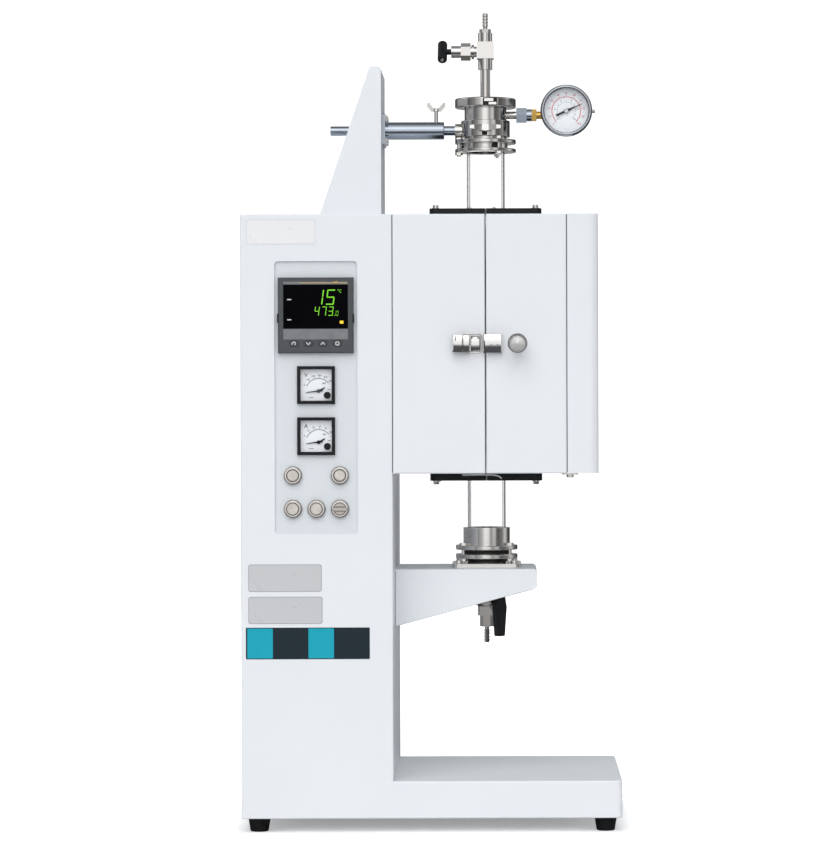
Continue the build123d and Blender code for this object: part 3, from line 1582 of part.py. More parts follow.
for index, name in enumerate(key_names):
    pieces[name] = controller_key(index)

for name, shape in pieces.items():
    export_step(shape, os.path.join("parts", name + ".step"))
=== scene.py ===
"""Looks of the vertical tube furnace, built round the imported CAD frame.  Metres, +Z up, front to -Y."""
import json
import math

import bmesh
import bpy
from mathutils import Matrix, Vector


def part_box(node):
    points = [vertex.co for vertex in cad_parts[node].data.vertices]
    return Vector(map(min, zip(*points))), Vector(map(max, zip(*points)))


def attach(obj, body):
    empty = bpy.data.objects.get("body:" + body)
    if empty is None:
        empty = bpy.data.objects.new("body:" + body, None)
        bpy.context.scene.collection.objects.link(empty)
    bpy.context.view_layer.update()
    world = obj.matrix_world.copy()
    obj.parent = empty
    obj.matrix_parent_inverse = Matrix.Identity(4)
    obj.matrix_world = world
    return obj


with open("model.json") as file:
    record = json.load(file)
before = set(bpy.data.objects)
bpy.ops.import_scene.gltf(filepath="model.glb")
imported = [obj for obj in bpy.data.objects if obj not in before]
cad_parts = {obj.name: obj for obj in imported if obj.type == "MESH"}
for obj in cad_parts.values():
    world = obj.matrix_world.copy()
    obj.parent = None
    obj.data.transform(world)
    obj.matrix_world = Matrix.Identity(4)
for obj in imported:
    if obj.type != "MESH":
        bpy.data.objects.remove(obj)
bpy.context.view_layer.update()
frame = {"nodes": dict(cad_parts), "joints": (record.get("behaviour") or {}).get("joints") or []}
nodes = frame["nodes"]
MM = 0.001

# ---------- places taken from the frame
shell_low, shell_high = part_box("cabinet_shell")
door_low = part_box("door_shell")[0]
fixed_low, fixed_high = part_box("chamber_shell")
tube_low, tube_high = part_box("quartz_tube")
LEFT = shell_low.x
FRONT = shell_low.y
REAR = shell_high.y
CHAMBER_TOP = fixed_high.z
CHAMBER_BOTTOM = fixed_low.z
SEAM_X = (fixed_high.x + door_low.x) / 2
TUBE = Vector(((tube_low.x + tube_high.x) / 2, (tube_low.y + tube_high.y) / 2, 0))

FRONT_AXIS = Vector((0, -1, 0))
UP_AXIS = Vector((0, 0, 1))
RIGHT_AXIS = Vector((1, 0, 0))
REAR_AXIS = Vector((0, 1, 0))
DOWN_AXIS = Vector((0, 0, -1))


# ---------- shader helpers
class NodeTree:
    """Short ways to add nodes to a material's or the world's tree."""

    def __init__(self, tree):
        self.tree = tree

    def add(self, kind, **settings):
        """A new node of one kind, with its settings."""
        node = self.tree.nodes.new("ShaderNode" + kind)
        for setting, value in settings.items():
            setattr(node, setting, value)
        return node

    def feed(self, socket, value):
        """Links another node's output to a socket, or sets the socket to a plain value."""
        if isinstance(value, bpy.types.NodeSocket):
            self.tree.links.new(value, socket)
        else:
            socket.default_value = value

    def math(self, operation, *values, clamp=False):
        node = self.add("Math", operation=operation, use_clamp=clamp)
        for socket, value in zip(node.inputs, values):
            self.feed(socket, value)
        return node.outputs[0]

    def span(self, value, from_min, from_max, to_min=0.0, to_max=1.0):
        """Maps a value from one range of numbers to another."""
        node = self.add("MapRange")
        names = ("Value", "From Min", "From Max", "To Min", "To Max")
        for name, number in zip(names, (value, from_min, from_max, to_min, to_max)):
            self.feed(node.inputs[name], number)
        return node.outputs["Result"]

    def mix(self, factor, first, second, blend="MIX"):
        """Mixes two colours, each an output or three numbers, by a factor."""
        node = self.add("Mix", data_type="RGBA", blend_type=blend)
        self.feed(node.inputs["Factor"], factor)
        for name, color in (("A", first), ("B", second)):
            self.feed(node.inputs[name], color if isinstance(color, bpy.types.NodeSocket) else (*color, 1.0))
        return node.outputs["Result"]

    def mix_shaders(self, factor, first, second):
        """Mixes the outputs of two shaders by a factor."""
        node = self.add("MixShader")
        for socket, value in zip(node.inputs, (factor, first, second)):
            self.feed(socket, value)
        return node.outputs[0]

    def split(self, vector):
        """The X, Y and Z outputs of a vector."""
        node = self.add("SeparateXYZ")
        self.feed(node.inputs[0], vector)
        return node.outputs

    def grey_ramp(self, factor, stops):
        """A smooth ramp of grey levels from (place, level) stops."""
        node = self.add("ValToRGB")
        ramp = node.color_ramp
        ramp.interpolation = "EASE"
        while len(ramp.elements) < len(stops):
            ramp.elements.new(0.5)
        for element, (place, level) in zip(ramp.elements, stops):
            element.position = place
            element.color = (level, level, level, 1.0)
        self.feed(node.inputs["Fac"], factor)
        return node.outputs["Color"]


NOISE_LOW, NOISE_HIGH = 0.3, 0.7  # nearly all of a noise texture's values lie between these


class Shader(NodeTree):
    """A new material with its Principled shader and textures in object space."""

    def __init__(self, name, color, roughness, metallic=0.0):
        self.material = bpy.data.materials.new(name)
        self.material.use_nodes = True
        super().__init__(self.material.node_tree)
        self.bsdf = self.tree.nodes["Principled BSDF"]
        self.set("Base Color", (*color, 1.0))
        self.set("Roughness", roughness)
        self.set("Metallic", metallic)
        self.coordinates = self.add("TexCoord").outputs["Object"]

    def set(self, socket, value):
        self.feed(self.bsdf.inputs[socket], value)

    def noise(self, scale, stretch=(1, 1, 1), detail=3.0):
        """Noise in object space; stretch multiplies the scale along each axis."""
        mapping = self.add("Mapping")
        mapping.inputs["Scale"].default_value = [scale * s for s in stretch]
        self.feed(mapping.inputs["Vector"], self.coordinates)
        noise = self.add("TexNoise")
        self.feed(noise.inputs["Scale"], 1.0)
        self.feed(noise.inputs["Detail"], detail)
        self.feed(noise.inputs["Vector"], mapping.outputs["Vector"])
        return noise.outputs["Fac"]

    def ramp(self, noise, low, high):
        """Maps a noise to a range of numbers."""
        return self.span(noise, NOISE_LOW, NOISE_HIGH, low, high)

    def vary_color(self, noise, color, darker, lighter):
        """Lets the base colour drift with a noise, by a share to each side."""
        self.set("Base Color", self.mix(self.ramp(noise, 0, 1), shade(color, darker), shade(color, lighter)))

    def vary_roughness(self, noise, roughness, less, more):
        """Lets the roughness drift with a noise."""
        self.set("Roughness", self.ramp(noise, roughness - less, roughness + more))

    def bump(self, height, distance, strength=1.0):
        node = self.add("Bump")
        self.feed(node.inputs["Distance"], distance)
        self.feed(node.inputs["Strength"], strength)
        self.feed(node.inputs["Height"], height)
        self.set("Normal", node.outputs["Normal"])


def shade(color, amount):
    """A colour made lighter or darker by a share."""
    return tuple(min(1.0, max(0.0, c * (1 + amount))) for c in color)


def adjust(material, socket, value):
    """Sets one constant of a finished material's Principled shader."""
    material.node_tree.nodes["Principled BSDF"].inputs[socket].default_value = value


LINE_DEPTH = 0.000003
GRAIN_DEPTH = 0.00002
ORANGE_PEEL_DEPTH = 0.00003
RIPPLE_HEIGHT = 0.0004


def powder_coat(name, color, roughness=0.38):
    """Powder coating: faint orange peel, faint tone drift and uneven gloss."""
    s = Shader(name, color, roughness)
    s.vary_color(s.noise(6.0), color, -0.015, 0.01)
    s.vary_roughness(s.noise(40.0), roughness, 0.05, 0.06)
    s.bump(s.noise(900.0, detail=2.0), ORANGE_PEEL_DEPTH)
    return s.material


def brushed(name, color, stretch, roughness=0.2, streak=0.03):
    """Metal with fine turned or brushed lines; stretch is large across the lines."""
    s = Shader(name, color, roughness, metallic=1.0)
    lines = s.noise(60.0, stretch, detail=4.0)
    s.vary_color(lines, color, -streak, streak)
    s.vary_roughness(s.noise(18.0), roughness, 0.03, 0.04)
    s.bump(lines, LINE_DEPTH)
    return s.material


def pressed_steel(name, color, roughness=0.12):
    """Polished pressed sheet with a slow ripple that breaks up what it mirrors."""
    s = Shader(name, color, roughness, metallic=1.0)
    s.vary_roughness(s.noise(60.0), roughness, 0.02, 0.04)
    s.bump(s.noise(110.0, (1, 1, 0.35), 1.5), RIPPLE_HEIGHT)
    return s.material


def two_metals(name, left_color, right_color, border_x, roughness):
    """A fitting whose left part is one metal and whose right part is another."""
    s = Shader(name, left_color, roughness, metallic=1.0)
    beyond = s.math("GREATER_THAN", s.split(s.coordinates)["X"], border_x)
    s.set("Base Color", s.mix(beyond, left_color, right_color))
    s.vary_roughness(s.noise(40.0), roughness, 0.03, 0.05)
    s.bump(s.noise(60.0, ACROSS_X), LINE_DEPTH)
    return s.material


def moulded(name, color, roughness=0.45, grain=1400.0, depth=GRAIN_DEPTH, specular=0.5):
    """Moulded plastic or rubber with a fine grain and slight polish on worn areas."""
    s = Shader(name, color, roughness)
    s.set("Specular IOR Level", specular)
    wear = s.noise(70.0)
    s.vary_color(wear, color, -0.08, 0.18)
    s.vary_roughness(wear, roughness, 0.06, 0.08)
    s.bump(s.noise(grain, detail=2.0), depth)
    return s.material


def clear_glass(name, color, ior):
    """Thick clear glass with the faintest unevenness."""
    s = Shader(name, color, 0.0)
    s.set("Transmission Weight", 1.0)
    s.set("IOR", ior)
    s.bump(s.noise(25.0), GRAIN_DEPTH, 0.3)
    return s.material


def thin_window(name, alpha):
    """A thin clear cover: mostly open, with a soft polish that reflects a little."""
    s = Shader(name, (0.04, 0.045, 0.05), 0.06)
    s.set("Alpha", alpha)
    s.set("Roughness", s.ramp(s.noise(30.0), 0.05, 0.09))
    return s.material


def glow(name, color, strength):
    """A lit display segment: emission with a slightly uneven level."""
    s = Shader(name, shade(color, -0.6), 0.4)
    level = s.ramp(s.noise(300.0), 0, 1)
    s.set("Emission Color", s.mix(level, shade(color, -0.06), shade(color, 0.06)))
    s.set("Emission Strength", strength)
    return s.material


# ---------- materials
WHITE = (0.785, 0.808, 0.832)
PANEL = (0.70, 0.728, 0.755)
STEEL = (0.70, 0.68, 0.66)
BLUE_STEEL = (0.44, 0.49, 0.56)
BRASS = (0.72, 0.45, 0.12)
ACROSS_Z = (0.5, 0.5, 60)
ACROSS_X = (60, 0.5, 0.5)
FINE = (8, 8, 8)
UNION_BRASS_X = TUBE.x + 60.7 * MM  # where the gauge union turns from steel to brass

white_coat = powder_coat("white_powder_coat", WHITE)
panel_coat = powder_coat("panel_powder_coat", PANEL, 0.45)
black_coat = powder_coat("black_powder_coat", (0.006, 0.006, 0.007), 0.4)
adjust(black_coat, "Specular IOR Level", 0.25)
bezel_blue = brushed("gauge_bezel_steel", (0.46, 0.49, 0.53), FINE, 0.12)
barb_steel = brushed("barb_steel", (0.52, 0.50, 0.48), FINE, 0.2)
steel_z = brushed("turned_steel_upright", STEEL, ACROSS_Z, 0.12)
steel_x = brushed("turned_steel_level", BLUE_STEEL, ACROSS_X)
steel_plain = brushed("satin_steel", STEEL, FINE, 0.26)
polished = brushed("polished_steel", (0.80, 0.79, 0.775), (3, 3, 3), 0.1, 0.02)
latch_steel = pressed_steel("latch_pressing", (0.70, 0.69, 0.675))
outlet_steel = brushed("outlet_steel", (0.46, 0.44, 0.42), FINE, 0.2)
# Much darker than the knob's face: painted dark reflection of the floor in the knob's rim.
rim_dark_reflection_steel = brushed("knob_rim_dark_reflection_steel", (0.30, 0.295, 0.29), FINE, 0.3)
steel_plain_warm = brushed("selector_steel", (0.62, 0.58, 0.54), FINE, 0.3)
bezel_steel = brushed("button_bezel_steel", (0.66, 0.63, 0.60), FINE, 0.18)
knob_steel = brushed("turned_knob", (0.86, 0.85, 0.84), (20, 20, 20), 0.55, 0.08)
adjust(knob_steel, "Metallic", 0.55)
aluminium = brushed("extruded_aluminium", (0.72, 0.72, 0.73), ACROSS_Z, 0.35)
stem_metals = two_metals("union_steel_and_brass", BLUE_STEEL, BRASS, UNION_BRASS_X, 0.18)
coil_wire = brushed("oxidised_winding", (0.16, 0.13, 0.11), ACROSS_Z, 0.55, 0.3)
rubber = moulded("foot_rubber", (0.008, 0.008, 0.009), 0.6, 900.0, specular=0.25)
black_plastic = moulded("black_moulded_plastic", (0.008, 0.009, 0.010), 0.42, specular=0.25)
grey_plastic = moulded("grey_moulded_plastic", (0.060, 0.064, 0.070), 0.5)
key_plastic = moulded("key_plastic", (0.045, 0.047, 0.052), 0.45)
cap_plastic = moulded("button_cap_plastic", (0.56, 0.525, 0.48), 0.35)
lens_plastic = moulded("lamp_lens_plastic", (0.57, 0.535, 0.49), 0.25)
window_plastic = moulded("dark_window", (0.002, 0.002, 0.003), 0.12, 400.0, 0.000003, specular=0.01)
pointer_paint = moulded("pointer_paint", (0.012, 0.012, 0.012), 0.5)
dial_paint_with_glow = powder_coat("dial_paint_with_glow", (0.93, 0.955, 0.985), 0.55)
# The dials glow faintly with no lamp behind them: painted light that lifts them out of the shade of their
# deep cases.
adjust(dial_paint_with_glow, "Emission Color", (0.93, 0.96, 1.0, 1.0))
adjust(dial_paint_with_glow, "Emission Strength", 0.10)
fibre = moulded("ceramic_fibre", (0.78, 0.76, 0.70), 0.95, 260.0, 0.0004)
quartz = clear_glass("fused_quartz", (0.992, 0.995, 0.998), 1.46)
window_glass = thin_window("instrument_glass", 0.03)

node_materials = {
    white_coat: ("cabinet_shell", "bottom_plate", "rear_cover", "chamber_shell", "door_shell",
                 "door_side_cover", "shelf_bracket", "upper_bracket"),
    panel_coat: ("control_panel",),
    black_coat: ("fixed_end_covers", "door_end_covers"),
    rubber: ("rubber_feet",),
    black_plastic: ("power_inlet", "meter_cases", "needle_valve_handle", "outlet_lever"),
    aluminium: ("power_regulator",),
    grey_plastic: ("controller_housing",),
    key_plastic: ("key_return", "key_down", "key_up", "key_menu"),
    window_plastic: ("controller_window",),
    dial_paint_with_glow: ("instrument_dials",),
    window_glass: ("instrument_windows",),
    pointer_paint: ("voltmeter_needle", "ammeter_needle", "gauge_needle"),
    polished: ("latch_base", "latch_bail", "ring_wing_screw"),
    bezel_steel: ("button_bodies",),
    lens_plastic: ("lamp_lenses",),
    cap_plastic: ("turn_off_cap", "turn_on_cap"),
    steel_plain_warm: ("selector_knob",),
    latch_steel: ("latch_lever", "latch_keeper"),
    knob_steel: ("door_knob",),
    fibre: ("fixed_insulation", "door_insulation"),
    coil_wire: ("fixed_heater", "door_heater"),
    steel_plain: ("thermocouple", "hinge_fixed_leaves", "hinge_door_leaves", "arm_wing_screw"),
    outlet_steel: ("outlet_valve_body",),
    steel_x: ("arm_sleeve", "arm_rod"),
    bezel_blue: ("gauge_case",),
    barb_steel: ("hose_barbs",),
    steel_z: ("support_ring", "head_body", "seal_discs", "head_cap", "needle_valve_body", "lower_flange"),
    stem_metals: ("gauge_stem",),
    quartz: ("quartz_tube",),
}
for material, names in node_materials.items():
    for name in names:
        node = nodes[name]
        node.data.materials.clear()
        node.data.materials.append(material)


# ---------- camera
PHOTO_WIDTH, PHOTO_HEIGHT = 832, 857
FOCAL_PX = 3276.0          # focal length in photo pixels
CENTRE_PX = (502.0, 393.0)  # where the view axis meets the photo
CAMERA_DISTANCE = 4.160    # from the cabinet's front
EYE_FROM_LEFT = 0.3322
EYE_HEIGHT = 0.5582
ROLL_DEG = -0.17
SENSOR = 36.0


def add_camera():
    """Long lens in front of the furnace, level, with the photograph's framing as shift."""
    data = bpy.data.cameras.new("camera")
    data.sensor_width = SENSOR
    data.lens = FOCAL_PX / PHOTO_HEIGHT * SENSOR
    data.shift_x = (PHOTO_WIDTH / 2 - CENTRE_PX[0]) / PHOTO_HEIGHT
    data.shift_y = (CENTRE_PX[1] - PHOTO_HEIGHT / 2) / PHOTO_HEIGHT
    camera = bpy.data.objects.new("camera", data)
    bpy.context.scene.collection.objects.link(camera)
    turn = Matrix.Rotation(math.radians(90), 4, "X") @ Matrix.Rotation(math.radians(ROLL_DEG), 4, "Z")
    place = Matrix.Translation((LEFT + EYE_FROM_LEFT, FRONT - CAMERA_DISTANCE, EYE_HEIGHT))
    camera.matrix_world = place @ turn
    bpy.context.scene.camera = camera

# ---------- floor, lights and world
FLOOR_SIZE = 9.0
FLOOR_LIFT = (0.30, 0.80)  # glow for camera rays, under the base and well away from it
LIFT_REACH = 0.05
DARK_FLOOR = (0.13, 0.13, 0.14)  # share of the floor's tone that metal mirrors near the furnace
DARK_FLOOR_REACH = (2.3, 6.0)  # the floor mirrors dark nearer than the first and white past the second
KEY_STRENGTH, KEY_ANGLE = 1.88, 68
TOP_STRENGTH = 0.44
SIDE_STRENGTH = 0.25
SOFT_ANGLE = 80
FILL_COLOR = (0.93, 0.96, 1.0, 1.0)
FILL_STRENGTH = 0.34
BACKDROP_STRENGTH = 1.16
ROOM_BY_HEIGHT = (
    (0.0, 0.05), (0.42, 0.10), (0.465, 0.80), (0.53, 0.85), (0.66, 1.0), (0.78, 1.5), (0.90, 0.7), (1.0, 0.4))
ROOM_BY_BEARING = (
    (0.0, 0.45), (0.08, 0.04), (0.15, 0.30), (0.21, 1.0), (0.26, 0.85), (0.31, 0.14), (0.37, 0.30),
    (0.43, 0.70), (0.48, 1.45), (0.52, 1.35), (0.56, 0.50), (0.61, 0.95), (0.65, 0.12), (0.72, 0.25),
    (0.79, 0.9), (0.86, 0.10), (0.93, 0.05), (1.0, 0.45))
# Backdrop seen through glass, by how nearly a ray runs front to back: its dark band paints dark edge lines
# along the quartz tube.
BACKDROP_BY_DEPTH = ((0.0, 1.0), (0.76, 1.0), (0.85, 0.08), (0.965, 0.30), (0.985, 1.0))


def distance_from_base(s):
    """Distance of a floor point from the cabinet's footprint, the larger of its two overhangs."""
    point = s.split(s.coordinates)
    overhangs = []
    for axis, low, high in (("X", LEFT, shell_high.x), ("Y", FRONT, REAR)):
        offset = s.math("SUBTRACT", point[axis], (low + high) / 2)
        overhangs.append(s.math("SUBTRACT", s.math("ABSOLUTE", offset), (high - low) / 2))
    return s.math("MAXIMUM", *overhangs)


def floor_material():
    """Pale floor: white for the camera and through glass away from the base, dark where metal mirrors it."""
    s = Shader("floor_white", (0.9, 0.9, 0.9), 0.9)
    tone = s.mix(s.ramp(s.noise(3.0), 0, 1), (0.89, 0.89, 0.895), (0.9, 0.9, 0.905))
    path = s.add("LightPath").outputs
    mirrored = s.math("SUBTRACT", path["Is Glossy Ray"], path["Is Transmission Ray"], clamp=True)
    away = distance_from_base(s)
    near = s.span(away, DARK_FLOOR_REACH[1], DARK_FLOOR_REACH[0])
    darker = s.mix(s.math("MULTIPLY", near, mirrored), (1, 1, 1), DARK_FLOOR)
    s.set("Base Color", s.mix(1.0, tone, darker, "MULTIPLY"))
    seen = s.math("MAXIMUM", path["Is Camera Ray"], path["Is Transmission Ray"])
    s.set("Emission Color", (1, 1, 1, 1))
    s.set("Emission Strength", s.math("MULTIPLY", seen, s.span(away, 0.0, LIFT_REACH, *FLOOR_LIFT)))
    s.set("Specular IOR Level", 0.0)
    return s.material


def add_floor():
    """A flat floor that runs into the white background and keeps the soft shadow."""
    mesh = bpy.data.meshes.new("floor")
    half = FLOOR_SIZE / 2
    corners = [(-half, -half, 0), (half, -half, 0), (half, half, 0), (-half, half, 0)]
    mesh.from_pydata(corners, [], [(0, 1, 2, 3)])
    mesh.materials.append(floor_material())
    floor = bpy.data.objects.new("floor", mesh)
    bpy.context.scene.collection.objects.link(floor)


def add_sun(name, towards, strength, angle_deg, color=(1, 1, 1)):
    """A broad soft light that shines along a direction and isn't mirrored itself."""
    data = bpy.data.lights.new(name, "SUN")
    data.energy = strength
    data.angle = math.radians(angle_deg)
    data.color = color
    light = bpy.data.objects.new(name, data)
    bpy.context.scene.collection.objects.link(light)
    light.rotation_euler = Vector(towards).to_track_quat("-Z", "Y").to_euler()
    light.location = -Vector(towards) * 3
    light.visible_glossy = False


def add_world():
    """White for the camera, white with a painted dark band through glass, a shaped room for reflections, even
    fill for the rest.
    """
    world = bpy.data.worlds.new("studio")
    world.use_nodes = True
    n = NodeTree(world.node_tree)
    fill = n.tree.nodes["Background"]
    n.feed(fill.inputs["Color"], FILL_COLOR)
    n.feed(fill.inputs["Strength"], FILL_STRENGTH)
    direction = n.split(n.add("TexCoord").outputs["Generated"])
    by_height = n.grey_ramp(n.span(direction["Z"], -1.0, 1.0), ROOM_BY_HEIGHT)
    bearing = n.math("ARCTAN2", direction["X"], n.math("MULTIPLY", direction["Y"], -1.0))
    by_bearing = n.grey_ramp(n.span(bearing, -math.pi, math.pi), ROOM_BY_BEARING)
    room = n.add("Background")
    n.feed(room.inputs["Color"], n.mix(1.0, by_height, by_bearing, "MULTIPLY"))
    path = n.add("LightPath").outputs
    depth = n.math("MAXIMUM", n.math("ABSOLUTE", direction["Y"]), path["Is Camera Ray"])
    white = n.add("Background")
    n.feed(white.inputs["Strength"], BACKDROP_STRENGTH)
    n.feed(white.inputs["Color"], n.grey_ramp(depth, BACKDROP_BY_DEPTH))
    mirrored = n.mix_shaders(path["Is Glossy Ray"], fill.outputs[0], room.outputs[0])
    seen = n.math("MAXIMUM", path["Is Camera Ray"], path["Is Transmission Ray"])
    n.feed(n.tree.nodes["World Output"].inputs["Surface"], n.mix_shaders(seen, mirrored, white.outputs[0]))
    bpy.context.scene.world = world


add_camera()
add_floor()
add_sun("key", (0.10, 0.85, -0.66), KEY_STRENGTH, KEY_ANGLE)
add_sun("top", (0.0, 0.1, -1.0), TOP_STRENGTH, SOFT_ANGLE, (0.94, 0.97, 1.0))
add_sun("side", (-1.0, 0.35, -0.25), SIDE_STRENGTH, SOFT_ANGLE, (0.96, 0.98, 1.0))
add_world()
bpy.context.scene.view_settings.view_transform = "Standard"


# ---------- shapes for the detail pieces
PRINT_DEPTH = 0.12 * MM
ROUND_SEGMENTS = 48
SMOOTH_ANGLE = math.radians(35)


def facing(point, normal=FRONT_AXIS, up=UP_AXIS):
    """A place with its origin at point, local Z along normal and local Y as near up as it can be."""
    right = up.cross(normal).normalized()
    true_up = normal.cross(right)
    turn = Matrix((right, true_up, normal)).transposed().to_4x4()
    return Matrix.Translation(point) @ turn


def front_at(x, y, z):
    """A place on a front face at a point."""
    return facing(Vector((x, y, z)))


def raised(place, height):
    """A place moved along its own local Z."""
    return place @ Matrix.Translation((0, 0, height))


def in_mm(*points):
    """Points given in millimetres."""
    return [(x * MM, y * MM) for x, y in points]


def ride_with_slot(piece, body):
    """Puts a new piece in the scene, on its body."""
    bpy.context.scene.collection.objects.link(piece)
    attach(piece, body)


def add_mesh(name, bm, place, material, body):
    """Turns a bmesh in local metres into a piece that rides on a body."""
    mesh = bpy.data.meshes.new(name)
    bmesh.ops.recalc_face_normals(bm, faces=bm.faces)
    bm.to_mesh(mesh)
    bm.free()
    mesh.materials.append(material)
    piece = bpy.data.objects.new(name, mesh)
    piece.matrix_world = place
    ride_with_slot(piece, body)
    return piece


def circle(radius):
    """Outline of a full circle about the origin."""
    turns = [2 * math.pi * i / ROUND_SEGMENTS for i in range(ROUND_SEGMENTS)]
    return [(radius * math.cos(a), radius * math.sin(a)) for a in turns]


def rounded(width, height, corner, centre=(0, 0), steps=6):
    """Outline of a rectangle with round corners."""
    points = []
    for quarter, (side, rise) in enumerate(((1, 1), (-1, 1), (-1, -1), (1, -1))):
        hub = (centre[0] + side * (width / 2 - corner), centre[1] + rise * (height / 2 - corner))
        for step in range(steps + 1):
            angle = math.pi / 2 * (quarter + step / steps)
            points.append((hub[0] + corner * math.cos(angle), hub[1] + corner * math.sin(angle)))
    return points


def rectangle(left, right, low, high):
    return [(left, low), (right, low), (right, high), (left, high)]


def band(inner, outer, start, end, centre=(0, 0), steps=40):
    """Outline of an arc of even width, from start to end in degrees."""
    angles = [math.radians(start + (end - start) * i / steps) for i in range(steps + 1)]
    out = [(centre[0] + outer * math.cos(a), centre[1] + outer * math.sin(a)) for a in angles]
    back = [(centre[0] + inner * math.cos(a), centre[1] + inner * math.sin(a)) for a in reversed(angles)]
    return out + back


def stroke(start, end, width):
    """Outline of a straight line of even width."""
    a, b = Vector(start), Vector(end)
    side = (b - a).normalized().orthogonal() * width / 2
    return [tuple(p) for p in (a + side, a - side, b - side, b + side)]


def prisms(name, outlines, depth, place, material, body="root", bevel=0.0):
    """One piece of several flat outlines, each raised by depth along local Z."""
    bm = bmesh.new()
    for outline in outlines:
        low = [bm.verts.new((x, y, 0)) for x, y in outline]
        high = [bm.verts.new((x, y, depth)) for x, y in outline]
        count = len(outline)
        bm.faces.new(high)
        bm.faces.new(list(reversed(low)))
        for i in range(count):
            after = (i + 1) % count
            bm.faces.new((low[i], low[after], high[after], high[i]))
        if bevel:
            rim = [e for e in bm.edges if e.verts[0] in high and e.verts[1] in high]
            bmesh.ops.bevel(bm, geom=rim, offset=bevel, segments=2, affect="EDGES")
    add_mesh(name, bm, place, material, body)


def printed(name, outlines, place, material, body="root"):
    """Flat outlines as thin raised print."""
    prisms(name, outlines, PRINT_DEPTH, place, material, body)


def lathe(name, profile, place, material, body="root"):
    """A piece turned about local Z from (radius, height) points; zero radius closes it."""
    bm = bmesh.new()
    rings = []
    for radius, height in profile:
        if radius == 0:
            rings.append([bm.verts.new((0, 0, height))])
            continue
        rings.append([bm.verts.new((x, y, height)) for x, y in circle(radius)])
    for below, above in zip(rings, rings[1:]):
        for i in range(ROUND_SEGMENTS):
            after = (i + 1) % ROUND_SEGMENTS
            corners = [below[i % len(below)], below[after % len(below)],
                       above[after % len(above)], above[i % len(above)]]
            bm.faces.new(list(dict.fromkeys(corners)))
    piece = add_mesh(name, bm, place, material, body)
    piece.data.shade_smooth()
    piece.data.set_sharp_from_angle(angle=SMOOTH_ANGLE)


def dial_directions(start, end, steps):
    """Unit vectors at even steps between two angles in degrees, both ends included."""
    angles = [math.radians(start + (end - start) * index / steps) for index in range(steps + 1)]
    return [Vector((math.cos(angle), math.sin(angle))) for angle in angles]


def words(name, text, size, place, spot, material):
    """Dial figures as thin raised print on the root, centred on a spot of the place's plane."""
    curve = bpy.data.curves.new(name, "FONT")
    curve.body = text
    curve.size = size
    curve.extrude = PRINT_DEPTH / 2
    curve.align_x = "CENTER"
    curve.align_y = "CENTER"
    curve.materials.append(material)
    piece = bpy.data.objects.new(name, curve)
    piece.matrix_world = raised(place @ Matrix.Translation((*spot, 0)), PRINT_DEPTH / 2)
    ride_with_slot(piece, "root")


def tube_along(name, points, radius, material):
    """A bent round bar through the points, in the shared frame, on the root."""
    curve = bpy.data.curves.new(name, "CURVE")
    curve.dimensions = "3D"
    curve.bevel_depth = radius
    curve.bevel_resolution = 4
    curve.use_fill_caps = True
    spline = curve.splines.new("NURBS")
    spline.points.add(len(points) - 1)
    for control, point in zip(spline.points, points):
        control.co = (*point, 1.0)
    spline.use_endpoint_u = True
    spline.order_u = 3
    curve.materials.append(material)
    ride_with_slot(bpy.data.objects.new(name, curve), "root")


def bolt_head(name, place, radius, height, body="root"):
    """Round cap head with a rounded rim and a socket, its seat at the place's origin."""
    rim = height * 0.25
    hole = radius * 0.55
    profile = [(0, 0), (radius, 0), (radius, height - rim), (radius - rim * 0.3, height - rim * 0.3),
               (radius - rim, height), (hole, height), (hole * 0.95, height * 0.45), (0, height * 0.4)]
    lathe(name, profile, place, steel_plain, body)


def cross_screw(name, place, radius, height, body="root"):
    """Pan head with the shade of its cross recess painted as two dark strokes sunk to its crown."""
    profile = [(0, 0), (radius, 0), (radius, height * 0.35), (radius * 0.8, height * 0.8),
               (radius * 0.4, height), (0, height)]
    lathe(name, profile, place, steel_plain, body)
    cross = [stroke((-radius * 0.5, 0), (radius * 0.5, 0), radius * 0.2),
             stroke((0, -radius * 0.5), (0, radius * 0.5), radius * 0.2)]
    prisms(name + "_recess", cross, height * 0.14, raised(place, height * 0.9), black_and_recess_shade, body)


# ---------- front panel details
pivots = {joint["child"]: Vector(joint["pos_m"]) for joint in frame["joints"] if "pos_m" in joint}
INK = moulded("printing_ink", (0.015, 0.015, 0.017), 0.6)
# Near black for the controller's side clips. The same material is laid in screw recesses, slits, splits,
# grooves and the clasp's recess as painted shade.
black_and_recess_shade = moulded("black_clip_and_recess_shade", (0.01, 0.01, 0.01), 0.7)
# Dark rubber for the button seals and the rivets. The same material is laid in seams and in gaps between
# covers and discs as painted shade.
rubber_and_gap_shade = moulded("rubber_and_gap_shade", (0.012, 0.012, 0.012), 0.5)
# Dark grey for the controller's bands. It is also drawn along the shelf's hem as a painted shadow line.
grey_band_and_hem_shade = moulded("controller_band_and_hem_shade", (0.17, 0.175, 0.185), 0.4)
gold = brushed("gold_strip", (0.75, 0.52, 0.12), ACROSS_X, 0.3)
green_glow = glow("green_segments", (0.24, 0.86, 0.02), 0.5)
amber_glow = glow("amber_lamp", (1.0, 0.62, 0.03), 0.9)
pale_mark = moulded("pale_marks", (0.7, 0.72, 0.72), 0.5)

SEGMENT_WIDTH, SEGMENT_GAP = 0.078, 0.03  # shares of the digit's height
DIGIT_LEAN = 0.13
BIG_DIGIT_HEIGHT = 19.4 * MM
SMALL_DIGIT_HEIGHT = 11.7 * MM
SMALL_DIGIT_PITCH = 8.8
SEGMENTS = {"1": "bc", "5": "afgcd", "4": "fgbc", "7": "abc", "3": "abgcd", "0": "abcdef"}


